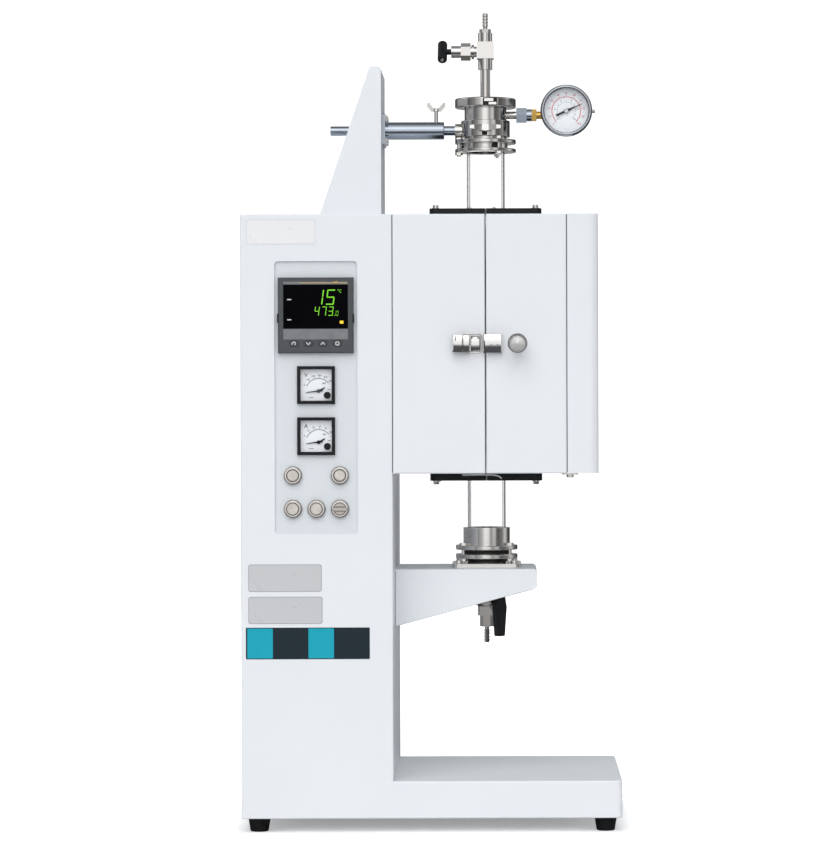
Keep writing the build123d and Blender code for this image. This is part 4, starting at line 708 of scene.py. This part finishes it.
def segment_outlines(digit, left, low, width, height):
    """The lit bars of one seven-segment digit, leaning a little to the right."""
    bar = SEGMENT_WIDTH * height
    gap = SEGMENT_GAP * height
    right, top, middle = left + width, low + height, low + height / 2
    spans = {
        "a": (left + gap, right - gap, top - bar, top),
        "g": (left + gap, right - gap, middle - bar / 2, middle + bar / 2),
        "d": (left + gap, right - gap, low, low + bar),
        "f": (left, left + bar, middle + gap, top - gap),
        "b": (right - bar, right, middle + gap, top - gap),
        "e": (left, left + bar, low + gap, middle - gap),
        "c": (right - bar, right, low + gap, middle - gap),
    }
    lit = [rectangle(*spans[key]) for key in SEGMENTS[digit]]
    return [[(x + (y - low) * DIGIT_LEAN, y) for x, y in bar_outline] for bar_outline in lit]


def controller_display():
    """Lit figures, the amber lamp and the small marks on the controller's window."""
    low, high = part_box("controller_window")
    middle = (low + high) / 2
    place = front_at(middle.x, low.y, middle.z)
    half_width = (high.x - low.x) / 2
    half_height = (high.z - low.z) / 2
    big_low = half_height - 25.5 * MM
    figures = segment_outlines("1", half_width - 37.0 * MM, big_low, 4.5 * MM, BIG_DIGIT_HEIGHT)
    figures += segment_outlines("5", half_width - 28.4 * MM, big_low, 10.4 * MM, BIG_DIGIT_HEIGHT)
    small_low = big_low - 13.9 * MM
    for index, digit in enumerate("473"):
        digit_left = half_width - (43.0 - SMALL_DIGIT_PITCH * index) * MM
        figures += segment_outlines(digit, digit_left, small_low, 6.0 * MM, SMALL_DIGIT_HEIGHT)
    figures += segment_outlines("0", half_width - 15.8 * MM, small_low, 3.2 * MM, 6.2 * MM)
    point_left = half_width - 17.6 * MM
    figures.append(rectangle(point_left, half_width - 16.8 * MM, small_low, small_low + 0.8 * MM))
    printed("display_figures", figures, place, green_glow)
    unit = band(1.35 * MM, 1.9 * MM, 50, 310, (half_width - 9.2 * MM, half_height - 8.0 * MM), 16)
    ring = band(0.45 * MM, 0.8 * MM, 0, 359, (half_width - 12.4 * MM, half_height - 6.6 * MM), 12)
    printed("display_unit", [unit, ring], place, green_glow)
    lamp = rounded(4.6 * MM, 3.7 * MM, 0.4 * MM, (half_width - 8.0 * MM, -half_height + 7.9 * MM))
    printed("display_lamp", [lamp], place, amber_glow)
    marks = [rounded(5.2 * MM, 1.3 * MM, 0.3 * MM, (-half_width + 7.5 * MM, y * MM)) for y in (9.0, -16.6)]
    printed("display_marks", marks, place, pale_mark)


def controller_trim():
    """Gold rule over the window, grey bands above and below it, and the side clips."""
    low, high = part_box("controller_housing")
    window_low, window_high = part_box("controller_window")
    place = front_at((low.x + high.x) / 2, low.y, 0)
    rule_z = window_high.z + 2.3 * MM
    half_window = (window_high.x - window_low.x) / 2
    strip = rectangle(-half_window, half_window, rule_z - 1.6 * MM, rule_z + 1.6 * MM)
    printed("controller_top_band", [strip], place, grey_band_and_hem_shade)
    rule = [rectangle(-half_window * 0.5, half_window * 0.97, rule_z - 0.35 * MM, rule_z + 0.35 * MM)]
    crest = [(half_window * 0.45, rule_z), (half_window * 0.7, rule_z + 2.6 * MM),
             (half_window * 0.62, rule_z + 0.6 * MM), (half_window * 0.85, rule_z + 0.35 * MM)]
    prisms("controller_gold_rule", rule + [crest], 2 * PRINT_DEPTH, place, gold)
    band_top = window_low.z - 0.8 * MM
    lower = rounded(2 * half_window, 13.0 * MM, 0.5 * MM, (0, band_top - 6.5 * MM))
    printed("controller_lower_band", [lower], place, grey_band_and_hem_shade)
    clip_z = low.z + 0.46 * (high.z - low.z)
    for word, side in (("left", -1), ("right", 1)):
        edge = side * ((high.x - low.x) / 2 - 0.1 * MM)
        clip = rounded(2.2 * MM, 12.0 * MM, 0.9 * MM, (edge, clip_z))
        prisms("controller_clip_" + word, [clip], 0.3 * MM, place, black_and_recess_shade)


def key_symbols():
    """Return arrow, down and up chevrons and a square on the four keys."""
    line = 1.0 * MM
    size = 2.5 * MM
    hook = [band(size - line, size, -60, 200, (0, 0), 20),
            [(-size - line, -0.2 * MM), (-size + 1.6 * line, -0.2 * MM), (-size + 0.3 * line, -1.8 * MM)]]
    down = [stroke((-size, size * 0.6), (0, -size * 0.7), line),
            stroke((0, -size * 0.7), (size, size * 0.6), line)]
    up = [[(x, -y) for x, y in reversed(outline)] for outline in down]
    side = size * 0.8
    square = [stroke((-side, y), (side, y), line) for y in (-side, side)]
    square += [stroke((x, -side), (x, side), line) for x in (-side, side)]
    for key, symbol in (("key_return", hook), ("key_down", down), ("key_up", up), ("key_menu", square)):
        low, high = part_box(key)
        centre = (low + high) / 2
        place = front_at(centre.x, low.y, centre.z)
        printed(key + "_symbol", symbol, place, pale_mark, key)


METER_SCALE_RADIUS = 15.6 * MM
METER_SCALE_START, METER_SCALE_END = 156, 40
METER_TICKS = 20
METER_TICKS_PER_FIGURE = 4
LONG_TICK, SHORT_TICK = 2.4 * MM, 1.3 * MM


def meter_face(name, letter, hub_material, top_of_scale):
    """One meter's scale arc, ticks, figures, unit letter, hub cover and zero screw."""
    needle_low, needle_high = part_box(name + "_needle")
    case_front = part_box("meter_cases")[0].y
    pivot = pivots[name + "_needle"]
    place = front_at(pivot.x, needle_high.y + 1.2 * MM, pivot.z)
    lines = [band(METER_SCALE_RADIUS, METER_SCALE_RADIUS + 0.5 * MM, METER_SCALE_END, METER_SCALE_START)]
    for index, direction in enumerate(dial_directions(METER_SCALE_START, METER_SCALE_END, METER_TICKS)):
        has_figure = index % METER_TICKS_PER_FIGURE == 0
        outer_end = direction * (METER_SCALE_RADIUS + (LONG_TICK if has_figure else SHORT_TICK))
        lines.append(stroke(direction * METER_SCALE_RADIUS, outer_end, 0.42 * MM))
        if has_figure:
            spot = direction * (METER_SCALE_RADIUS + 4.2 * MM)
            figure = str(round(top_of_scale * index / METER_TICKS))
            words("%s_figure_%s" % (name, figure), figure, 3.2 * MM, place, spot, INK)
    printed(name + "_scale", lines, place, INK)
    words(name + "_letter", letter, 7.4 * MM, place, (-16.0 * MM, 20.0 * MM), INK)
    notes = [rectangle(x * MM, (x + w) * MM, y * MM, (y + 0.6) * MM)
             for x, y, w in ((4.6, 10.0, 5.0), (5.4, 8.9, 3.4), (-12.5, -8.6, 6.0), (11.4, 1.6, 3.6))]
    printed(name + "_small_marks", notes, place, INK)
    hub_place = front_at(pivot.x, needle_low.y, pivot.z)
    hub = in_mm((0, 0), (2.3, 0), (2.2, 0.7), (1.4, 1.0), (0, 1.0))
    lathe(name + "_hub", hub, hub_place, hub_material, name + "_needle")
    tail = in_mm((0, 0.9), (0.5, -1.0), (5.0, 1.3), (8.4, 4.2), (7.6, 5.0), (4.2, 3.4))
    blade = in_mm((0, 1.1), (-12.0, -0.9), (-16.5, -1.6), (-12.0, -1.7), (0, -1.1))
    prisms(name + "_pointer_blades", [tail, blade], 0.25 * MM, hub_place, INK, name + "_needle")
    screw = front_at(pivot.x + 11.4 * MM, case_front + 0.6 * MM, pivot.z - 5.4 * MM)
    profile = in_mm((0, 0), (4.5, 0), (4.5, 0.9), (4.0, 1.3), (1.6, 1.3), (1.4, 0.8), (0, 0.8))
    lathe(name + "_zero_screw", profile, screw, black_plastic)


# ---------- buttons
ring_shadow = moulded("ring_shadow", (0.045, 0.04, 0.035), 0.5)


def button_rings():
    """Dark shadow gap and rubber seal round each lamp, cap and selector."""
    body_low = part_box("button_bodies")[0]
    panel_face_y = body_low.y + 6.0 * MM
    places = {name: (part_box(name)[0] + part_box(name)[1]) / 2 for name in ("turn_off_cap", "turn_on_cap")}
    places["selector"] = pivots["selector_knob"]
    lens_low, lens_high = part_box("lamp_lenses")
    lens_z = (lens_low.z + lens_high.z) / 2
    radius = (lens_high.z - lens_low.z) / 2
    places["lamp_left"] = Vector((lens_low.x + radius, 0, lens_z))
    places["lamp_right"] = Vector((lens_high.x - radius, 0, lens_z))
    for name, centre in places.items():
        place = front_at(centre.x, body_low.y, centre.z)
        gap = band(radius + 0.05 * MM, radius + 1.0 * MM, 0, 360)
        printed("ring_gap_" + name, [gap], place, ring_shadow)
        seal_place = front_at(centre.x, panel_face_y, centre.z)
        seal = in_mm((11.0, 0), (11.7, 0), (11.6, 0.5), (11.0, 0.6))
        lathe("button_seal_" + name, seal, seal_place, rubber_and_gap_shade)


def selector_bar_lines():
    """Shadow grooves above and below the selector's finger bar."""
    centre = pivots["selector_knob"]
    disc_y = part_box("turn_off_cap")[0].y
    grooves = [rounded(12.6 * MM, 0.9 * MM, 0.4 * MM, (0, y * MM)) for y in (-2.7, 2.7)]
    place = front_at(centre.x, disc_y, centre.z)
    printed("selector_grooves", grooves, place, black_and_recess_shade, "selector_knob")


def seam_gaskets():
    """Thin dark strips of painted shade in the grooves beside the chamber: column to chamber, and door to
    side cover.
    """
    half_height = (CHAMBER_TOP - CHAMBER_BOTTOM) / 2
    strip = rectangle(-0.55 * MM, 0.55 * MM, -half_height + 1.5 * MM, half_height - 1.5 * MM)
    side_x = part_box("door_side_cover")[0].x
    for name, x, body in (("column", fixed_low.x, "root"), ("side_cover", side_x, "door")):
        place = front_at(x, FRONT, (CHAMBER_BOTTOM + CHAMBER_TOP) / 2)
        prisms("seam_shade_strip_" + name, [strip], 2.0 * MM, raised(place, -2.6 * MM), rubber_and_gap_shade, body)


# ---------- bare plates on the column
plate_pale = powder_coat("plate_pale_foil", (0.82, 0.815, 0.82), 0.3)
plate_pale_rim = powder_coat("plate_pale_rim", (0.55, 0.56, 0.57), 0.4)
plate_grey = powder_coat("plate_grey_foil", (0.55, 0.555, 0.565), 0.3)
plate_edge = moulded("plate_edge", (0.16, 0.17, 0.18), 0.5)
strip_dark = powder_coat("strip_dark_foil", (0.011, 0.022, 0.030), 0.4)
strip_teal = powder_coat("strip_teal_foil", (0.008, 0.36, 0.47), 0.4)
for foil in (strip_dark, strip_teal):
    adjust(foil, "Specular IOR Level", 0.25)
PLATE_DEPTH = 0.25 * MM

# Name; left and right from the column's left edge, low and high from the floor and the corner's radius
# in mm; face, edge, and the edge's width in mm.
PLATES = (
    ("plate_upper", 8.4, 95.6, 748.0, 779.0, 3.0, plate_pale, plate_pale_rim, 0.4),
    ("plate_middle", 9.4, 102.5, 306.7, 341.1, 3.0, plate_grey, plate_edge, 0.5),
    ("plate_lower", 9.4, 103.4, 265.9, 300.1, 3.0, plate_grey, plate_edge, 0.5),
    ("strip", 6.1, 163.4, 220.9, 261.0, 0.8, strip_dark, None, 0),
)
STRIP_PANEL_SIZE = (32.4 * MM, 37.9 * MM)


def bare_plate(name, left, right, low, high, corner, face, edge, line):
    """A blank foil plate on the column's front, with a thin darker rim where it has one."""
    place = front_at(((LEFT + left * MM) + (LEFT + right * MM)) / 2, FRONT, (low * MM + high * MM) / 2)
    width = (LEFT + right * MM) - (LEFT + left * MM)
    height = high * MM - low * MM
    outline = rounded(width, height, corner * MM)
    if edge is None:
        prisms(name, [outline], PLATE_DEPTH, place, face, bevel=0.06 * MM)
        return
    prisms(name + "_rim", [outline], PLATE_DEPTH, place, edge)
    rim = line * MM
    inner = rounded(width - 2 * rim, height - 2 * rim, corner * MM - rim / 2)
    printed(name, [inner], raised(place, PLATE_DEPTH), face)


def column_plates():
    """Blank plates where the column carries its foils."""
    for plate in PLATES:
        bare_plate(*plate)
    for name, left in (("strip_panel_left", 7.9), ("strip_panel_right", 85.5)):
        place = front_at(LEFT + (left + 16.2) * MM, FRONT - PLATE_DEPTH, 241.0 * MM)
        printed(name, [rounded(*STRIP_PANEL_SIZE, 0.8 * MM)], place, strip_teal)


# ---------- pressure gauge print
gauge_red = moulded("gauge_red_ink", (0.62, 0.015, 0.02), 0.5)
GAUGE_START, GAUGE_END = 225, -45
GAUGE_TICKS = 40
GAUGE_NEEDLE_REST = 24.5  # degrees above the level, pointing right
RED_TICK_RADII = (18.8, 21.0, 19.8)  # inner end, outer end of a long tick and of a short tick, in mm
BLACK_TICK_RADII = (11.4, 13.4, 12.4)


def gauge_tick(direction, radii, is_long, width):
    """One tick of a ring scale."""
    start, long_end, short_end = radii
    return stroke(direction * start * MM, direction * (long_end if is_long else short_end) * MM, width)


def gauge_print():
    """Two ring scales, black inside and red outside, the bezel's roll, the pointer's blade and its hub."""
    centre = pivots["gauge_needle"]
    needle_low, needle_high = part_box("gauge_needle")
    place = front_at(centre.x, needle_high.y + 2.0 * MM, centre.z)
    black, red = [], [band(18.3 * MM, 18.9 * MM, GAUGE_END, GAUGE_START)]
    for index, direction in enumerate(dial_directions(GAUGE_START, GAUGE_END, GAUGE_TICKS)):
        has_figure = index % 4 == 0
        red.append(gauge_tick(direction, RED_TICK_RADII, has_figure, 0.5 * MM))
        if index % 2 == 0:
            black.append(gauge_tick(direction, BLACK_TICK_RADII, has_figure, 0.6 * MM))
        if has_figure:
            spot = direction * 23.4 * MM
            words("gauge_outer_%d" % index, str(index // 4 * 10), 3.4 * MM, place, spot, gauge_red)
        if index % 8 == 0:
            spot = direction * 15.4 * MM
            words("gauge_inner_%d" % index, str(index // 8 * 2), 2.8 * MM, place, spot, INK)
    printed("gauge_scale_black", black, place, INK)
    printed("gauge_scale_red", red, place, gauge_red)
    bezel = in_mm((33.6, 0), (33.3, 0.9), (32.3, 1.6), (31.2, 1.9), (30.1, 1.6), (29.1, 0.9), (28.8, 0))
    bezel_place = front_at(centre.x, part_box("gauge_case")[0].y, centre.z)
    lathe("gauge_bezel_roll", bezel, bezel_place, bezel_blue)
    hub_place = front_at(centre.x, needle_low.y, centre.z)
    blade = in_mm((24.0, 0), (10.0, 1.0), (3.0, 1.7), (-12.0, 1.2), (-15.5, 0), (-12.0, -1.2), (3.0, -1.7),
                  (10.0, -1.0))
    turn = Matrix.Rotation(math.radians(GAUGE_NEEDLE_REST), 4, "Z")
    prisms("gauge_pointer_blade", [blade], 0.3 * MM, hub_place @ turn, INK, "gauge_needle")
    hub = in_mm((0, 0), (2.6, 0), (2.5, 0.5), (1.6, 0.9), (0, 0.9))
    lathe("gauge_hub", hub, hub_place, pale_mark, "gauge_needle")


# ---------- screws and bolts
def end_cover_bolts():
    """A cap screw near each corner of both end covers, with its washer."""
    for body, node, side in (("root", "fixed_end_covers", -1), ("door", "door_end_covers", 1)):
        low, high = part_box(node)
        x = (low.x if side < 0 else high.x) - side * 8.0 * MM
        for y in (low.y + 9.0 * MM, high.y - 9.0 * MM):
            for z, normal, word in ((high.z, UP_AXIS, "top"), (low.z, DOWN_AXIS, "bottom")):
                name = "%s_bolt_%s_%s" % (node, word, "front" if y < TUBE.y else "rear")
                place = facing(Vector((x, y, z)), normal, REAR_AXIS)
                washer = in_mm((0, 0), (5.0, 0), (5.0, 0.8), (0, 0.8))
                lathe(name + "_washer", washer, place, steel_plain, body)
                bolt_head(name, raised(place, 0.8 * MM), 3.9 * MM, 4.0 * MM, body)


def flange_bolts():
    """Hexagon bolts of the arm's flange, with their shanks."""
    face_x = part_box("arm_sleeve")[0].x + 3.5 * MM
    half = 15.0 * MM
    axis_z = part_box("arm_rod")[0].z / 2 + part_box("arm_rod")[1].z / 2
    shank = in_mm((0, -9.5), (2.4, -9.5), (2.4, 0), (0, 0))
    for y_word, y_side in (("front", -1), ("rear", 1)):
        for z_word, z_side in (("low", -1), ("high", 1)):
            spot = Vector((face_x, TUBE.y + y_side * half, axis_z + z_side * half))
            name = "flange_bolt_%s_%s" % (y_word, z_word)
            hexagon_head(name, facing(spot, RIGHT_AXIS), 8.0 * MM, 3.5 * MM)
            lathe(name + "_shank", shank, facing(spot, RIGHT_AXIS), steel_plain)


def hexagon_head(name, place, across, height, body="root"):
    """A hexagon head with the edges of its top chamfered."""
    reach = across / math.sqrt(3)
    turns = [math.radians(a) for a in range(0, 360, 60)]
    outline = [(reach * math.cos(a), reach * math.sin(a)) for a in turns]
    prisms(name, [outline], height, place, steel_plain, body, 0.5 * MM)


def seat_plate_bolts():
    """Socket bolts in the corners of the seat plate on the shelf."""
    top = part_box("shelf_bracket")[1].z + 5.5 * MM
    reach = 36.0 * MM
    for x_word, x_side in (("left", -1), ("right", 1)):
        for y_word, y_side in (("front", -1), ("rear", 1)):
            spot = Vector((TUBE.x + x_side * reach, TUBE.y + y_side * reach, top))
            place = facing(spot, UP_AXIS, REAR_AXIS)
            bolt_head("seat_bolt_%s_%s" % (x_word, y_word), place, 4.4 * MM, 4.4 * MM)


# ---------- clasp and small fittings of the tube
CLASP_OFFSET = 6.0 * MM  # to the right of the tube's axis
OUTLET_CORE_LOW = 266.6 * MM


def clamp_clasp():
    """Two jaws at the front of the cap's clamp ring, over a dark block that paints the shade of their recess.
    """
    ring_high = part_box("head_body")[1].z + 12.5 * MM
    middle_z = ring_high - 6.25 * MM
    place = front_at(TUBE.x + CLASP_OFFSET, TUBE.y - 40.0 * MM, middle_z)
    recess = rounded(18.5 * MM, 9.6 * MM, 1.0 * MM)
    prisms("clasp_recess_shade", [recess], 3.0 * MM, raised(place, -2.6 * MM), black_and_recess_shade)
    jaws = [rounded(12.0 * MM, 3.6 * MM, 0.8 * MM, (-1.5 * MM, 1.9 * MM)),
            rounded(10.0 * MM, 3.2 * MM, 0.8 * MM, (3.4 * MM, -2.7 * MM))]
    prisms("clasp_jaws", jaws, 2.0 * MM, raised(place, -0.4 * MM), polished, bevel=0.4 * MM)


def gasket_blocks():
    """Dark blocks in the gap between the head's two discs: painted shade in the gap."""
    gap_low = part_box("head_body")[0].z - 6.5 * MM
    for name, turn in (("front_right", -62), ("left", 150), ("rear", 55)):
        angle = math.radians(turn)
        outward = Vector((math.cos(angle), math.sin(angle), 0))
        spot = TUBE + outward * 29.0 * MM
        spot.z = gap_low + 3.2 * MM
        block = rounded(12.0 * MM, 6.0 * MM, 1.0 * MM)
        prisms("head_gap_shade_block_" + name, [block], 5.0 * MM, facing(spot, outward), rubber_and_gap_shade, bevel=0.5 * MM)


def valve_details():
    """Socket screw in the lower end of the valve's T bar."""
    pivot = pivots["needle_valve_handle"]
    tilt = math.radians(45)
    bar_axis = Vector((0, -math.sin(tilt), -math.cos(tilt)))
    bar_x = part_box("needle_valve_handle")[0].x + 6.2 * MM
    end = Vector((bar_x, pivot.y, pivot.z)) + bar_axis * 17.0 * MM
    profile = in_mm((0, 0), (2.4, 0), (2.2, 0.4), (1.3, 0.4), (1.2, 0.08), (0, 0.08))
    place = facing(end, bar_axis, RIGHT_AXIS)
    lathe("handle_end_screw", profile, place, steel_plain, "needle_valve_handle")


def outlet_block_cover():
    """Wider machined block and its tapered top round the outlet valve's core."""
    size = 23.6 * MM
    height = 12.0 * MM
    place = Matrix.Translation((TUBE.x, TUBE.y, OUTLET_CORE_LOW))
    prisms("outlet_block", [rounded(size, size, 2.5 * MM)], height, place, outlet_steel, bevel=0.8 * MM)
    taper = in_mm((8.1, 0), (12.0, 0), (17.0, 4.6), (17.0, 16.0), (8.1, 16.0))
    lathe("outlet_flare", taper, raised(place, height), outlet_steel)


def under_cover_fittings():
    """Bent spring wire under the chamber, dark strips of painted shade in the gap between the end covers, and
    the side cover's tab.
    """
    low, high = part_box("fixed_end_covers")
    bends = in_mm((-31.0, 0), (-12.0, 0.5), (4.0, 0.2), (11.0, -0.2), (17.0, -1.6), (20.0, -4.4))
    wire_z = low.z + 7.2 * MM
    points = [(SEAM_X + x, low.y - 1.3 * MM, wire_z + drop) for x, drop in bends]
    tube_along("seam_spring_wire", points, 1.2 * MM, polished)
    gap_shade_outline = rounded(1.2 * MM, 10.7 * MM, 0.3 * MM)
    for word, level in (("bottom", low.z + 5.5 * MM), ("top", high.z - 5.5 * MM)):
        place = front_at(SEAM_X, low.y + 1.0 * MM, level)
        prisms("cover_gap_shade_" + word, [gap_shade_outline], 1.5 * MM, place, rubber_and_gap_shade)
    side_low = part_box("door_side_cover")[0]
    spot = Vector((side_low.x + 4.0 * MM, side_low.y + 16.0 * MM, side_low.z))
    place = facing(spot, DOWN_AXIS, REAR_AXIS)
    tab = rounded(20.0 * MM, 14.0 * MM, 2.0 * MM)
    prisms("side_cover_tab", [tab], 2.0 * MM, place, steel_plain, "door", 0.3 * MM)
    hexagon_head("side_cover_tab_bolt", raised(place, 2.0 * MM), 8.0 * MM, 3.6 * MM, "door")


def flange_seals():
    """Dark rings in the gaps under and between the lower flange's discs: painted shade in the gaps."""
    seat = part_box("lower_flange")[0].z
    for name, radius, level, height in (("seat", 24.0, 5.6, 5.4), ("groove", 29.0, 17.2, 5.3)):
        outer = radius + 1.2
        profile = in_mm((radius, 0), (outer, 0.2), (outer, height - 0.2), (radius, height))
        place = Matrix.Translation((TUBE.x, TUBE.y, seat + level * MM))
        lathe("flange_gap_shade_" + name, profile, place, rubber_and_gap_shade)


def shelf_lines():
    """Dark line of painted shade where the shelf meets the column, and its hem's shadow line along the slope.
    """
    low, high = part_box("shelf_bracket")
    face = front_at(0, low.y, 0)
    joint = rectangle(low.x + 0.1 * MM, low.x + 0.8 * MM, low.z + 1.0 * MM, high.z - 2.0 * MM)
    printed("shelf_joint_shade_line", [joint], face, rubber_and_gap_shade)
    hem_start = (low.x + 1.0 * MM, low.z + 0.5 * MM)
    hem_end = (high.x - 6.0 * MM, high.z - 26.0 * MM)
    printed("shelf_hem_line", [stroke(hem_start, hem_end, 0.5 * MM)], face, grey_band_and_hem_shade)


def knob_rim():
    """Rolled rim round the door knob's face, in darker steel that paints the floor's dark reflection."""
    low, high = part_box("door_knob")
    radius = (high.x - low.x) / 2
    place = front_at((low.x + high.x) / 2, low.y, (low.z + high.z) / 2)
    steps = in_mm((1.5, -1.6), (0.9, -0.9), (0.3, -1.6), (0, -3.0), (0.6, -4.4))
    lathe("knob_rim", [(radius - inset, height) for inset, height in steps], place, rim_dark_reflection_steel, "door")


def ring_split():
    """The dark split in the support ring behind its wing screw."""
    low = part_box("support_ring")[0]
    place = front_at(TUBE.x - 1.0 * MM, low.y + 0.1 * MM, low.z + 6.0 * MM)
    split = rounded(7.0 * MM, 10.0 * MM, 1.0 * MM)
    prisms("ring_split_shadow", [split], 0.4 * MM, place, black_and_recess_shade)


def top_cover_screws():
    """Two small screws on the top end cover, one on each side of the seam."""
    low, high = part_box("fixed_end_covers")
    for body, offset in (("root", -20.5), ("door", 11.0)):
        spot = Vector((SEAM_X + offset * MM, low.y + 8.0 * MM, high.z))
        place = facing(spot, UP_AXIS, REAR_AXIS)
        cross_screw("cover_screw_" + body, place, 2.4 * MM, 1.8 * MM, body)


def crowned_cover(name, across, upright, seat_y, edge, crown, body):
    """A pressed cover over a flat latch part: a low wall all round and a face curved from bottom to top.

    across and upright give its ends in X and in Z; edge is the wall's height and crown the curve's rise.
    """
    (left, right), (low, high) = across, upright
    bm = bmesh.new()
    steps = 14
    ease = 1.0 * MM
    wall = 0.25 * MM
    face_height = high - low - 2 * wall
    spans = [(2 * step / steps - 1, low + wall + face_height * step / steps) for step in range(steps + 1)]
    sections = []
    for x, share in ((left, 0.6), (left + ease, 1.0), (right - ease, 1.0), (right, 0.6)):
        row = [bm.verts.new((x, seat_y, low))]
        row += [bm.verts.new((x, seat_y - share * (edge + crown * (1 - t * t)), z)) for t, z in spans]
        row.append(bm.verts.new((x, seat_y, high)))
        sections.append(row)
    for row, after in zip(sections, sections[1:]):
        for step in range(len(row) - 1):
            bm.faces.new((row[step], row[step + 1], after[step + 1], after[step]))
        bm.faces.new((row[0], after[0], after[-1], row[-1]))
    for row in (sections[0], sections[-1]):
        bm.faces.new(row)
    piece = add_mesh(name, bm, Matrix.Identity(4), latch_steel, body)
    piece.data.shade_smooth()
    piece.data.set_sharp_from_angle(angle=math.radians(30))


def latch_dressing():
    """Curved covers on the lever and the keeper, the plate between them, slits with painted shade, and
    rivets.
    """
    lever_low, lever_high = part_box("latch_lever")
    keeper_low, keeper_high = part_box("latch_keeper")
    bail_low, bail_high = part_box("latch_bail")
    middle = (lever_low.z + lever_high.z) / 2
    break_x = bail_low.x - 0.3 * MM
    edge, crown = 1.9 * MM, 2.2 * MM
    seat_y = lever_low.y + 1.8 * MM
    crowned_cover("lever_cover_wide", (lever_low.x + 0.2 * MM, break_x), (lever_low.z, lever_high.z),
                  seat_y, edge, crown, "latch_lever")
    crowned_cover("lever_cover_narrow", (break_x, lever_high.x),
                  (lever_low.z + 0.5 * MM, lever_high.z - 0.5 * MM), seat_y, edge, 2.0 * MM, "latch_lever")
    crowned_cover("keeper_cover", (keeper_low.x + 0.3 * MM, keeper_high.x - 0.3 * MM),
                  (keeper_low.z + 0.1 * MM, keeper_high.z - 0.1 * MM), keeper_low.y + 2.2 * MM, 2.3 * MM,
                  crown, "door")
    crowned_cover("latch_bridge", (lever_high.x + 0.8 * MM, bail_high.x - 2.8 * MM),
                  (middle - 10.2 * MM, middle + 10.0 * MM), FRONT - 0.2 * MM, 0.8 * MM, 1.4 * MM, "root")
    # The slits are thin dark prisms: painted shade in each slit.
    slit_place = front_at(lever_low.x + 3.9 * MM, lever_low.y - 1.5 * MM, middle + 4.4 * MM)
    lever_slit_shade = rounded(1.0 * MM, 9.0 * MM, 0.4 * MM)
    prisms("lever_slit_shade", [lever_slit_shade], 0.6 * MM, slit_place, black_and_recess_shade, "latch_lever")
    keeper_front = keeper_low.y - 2.2 * MM
    slit_place = front_at(keeper_low.x + 1.9 * MM, keeper_front + 0.25 * MM, middle - 0.5 * MM)
    keeper_slit_shade = rounded(1.1 * MM, 8.0 * MM, 0.4 * MM)
    prisms("keeper_slit_shade", [keeper_slit_shade], 0.4 * MM, slit_place, black_and_recess_shade, "door")
    rivet = in_mm((0, 0), (0.8, 0), (0.6, 0.25), (0, 0.35))
    for index, x in enumerate((keeper_low.x + 10.5 * MM, keeper_low.x + 18.0 * MM)):
        place = front_at(x, keeper_front + 0.05 * MM, middle - 1.4 * MM)
        lathe("keeper_rivet_%d" % index, rivet, place, rubber_and_gap_shade, "door")


# ---------- rear and hidden sides
def rear_screws():
    """Cross screws down both sides of the rear cover."""
    low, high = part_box("rear_cover")
    inset = 6.0 * MM
    face_y = low.y + 1.2 * MM
    rows = 5
    for row in range(rows):
        z = low.z + inset + (high.z - low.z - 2 * inset) * row / (rows - 1)
        for side, x in (("left", low.x + inset), ("right", high.x - inset)):
            place = facing(Vector((x, face_y, z)), REAR_AXIS)
            cross_screw("rear_screw_%s_%d" % (side, row), place, 3.0 * MM, 1.8 * MM)


def hinge_screws():
    """Three cross screws in each hinge leaf."""
    for node, body, direction in (("hinge_fixed_leaves", "root", -1), ("hinge_door_leaves", "door", 1)):
        low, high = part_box(node)
        x = low.x + 10.0 * MM if direction < 0 else high.x - 10.0 * MM
        for centre in (high.z - 30.0 * MM, low.z + 30.0 * MM):
            for step in (-1, 0, 1):
                place = facing(Vector((x, REAR + 2.0 * MM, centre + step * 20.0 * MM)), REAR_AXIS)
                name = "hinge_screw_%s_%d_%d" % (body, round(centre / MM), step + 1)
                cross_screw(name, place, 2.8 * MM, 1.5 * MM, body)


# ---------- every detail piece
controller_display()
controller_trim()
key_symbols()
meter_face("voltmeter", "V", grey_plastic, 500)
meter_face("ammeter", "A", black_plastic, 50)
button_rings()
selector_bar_lines()
seam_gaskets()
column_plates()
gauge_print()
end_cover_bolts()
flange_bolts()
seat_plate_bolts()
outlet_block_cover()
flange_seals()
shelf_lines()
knob_rim()
ring_split()
clamp_clasp()
gasket_blocks()
valve_details()
under_cover_fittings()
top_cover_screws()
latch_dressing()
rear_screws()
hinge_screws()
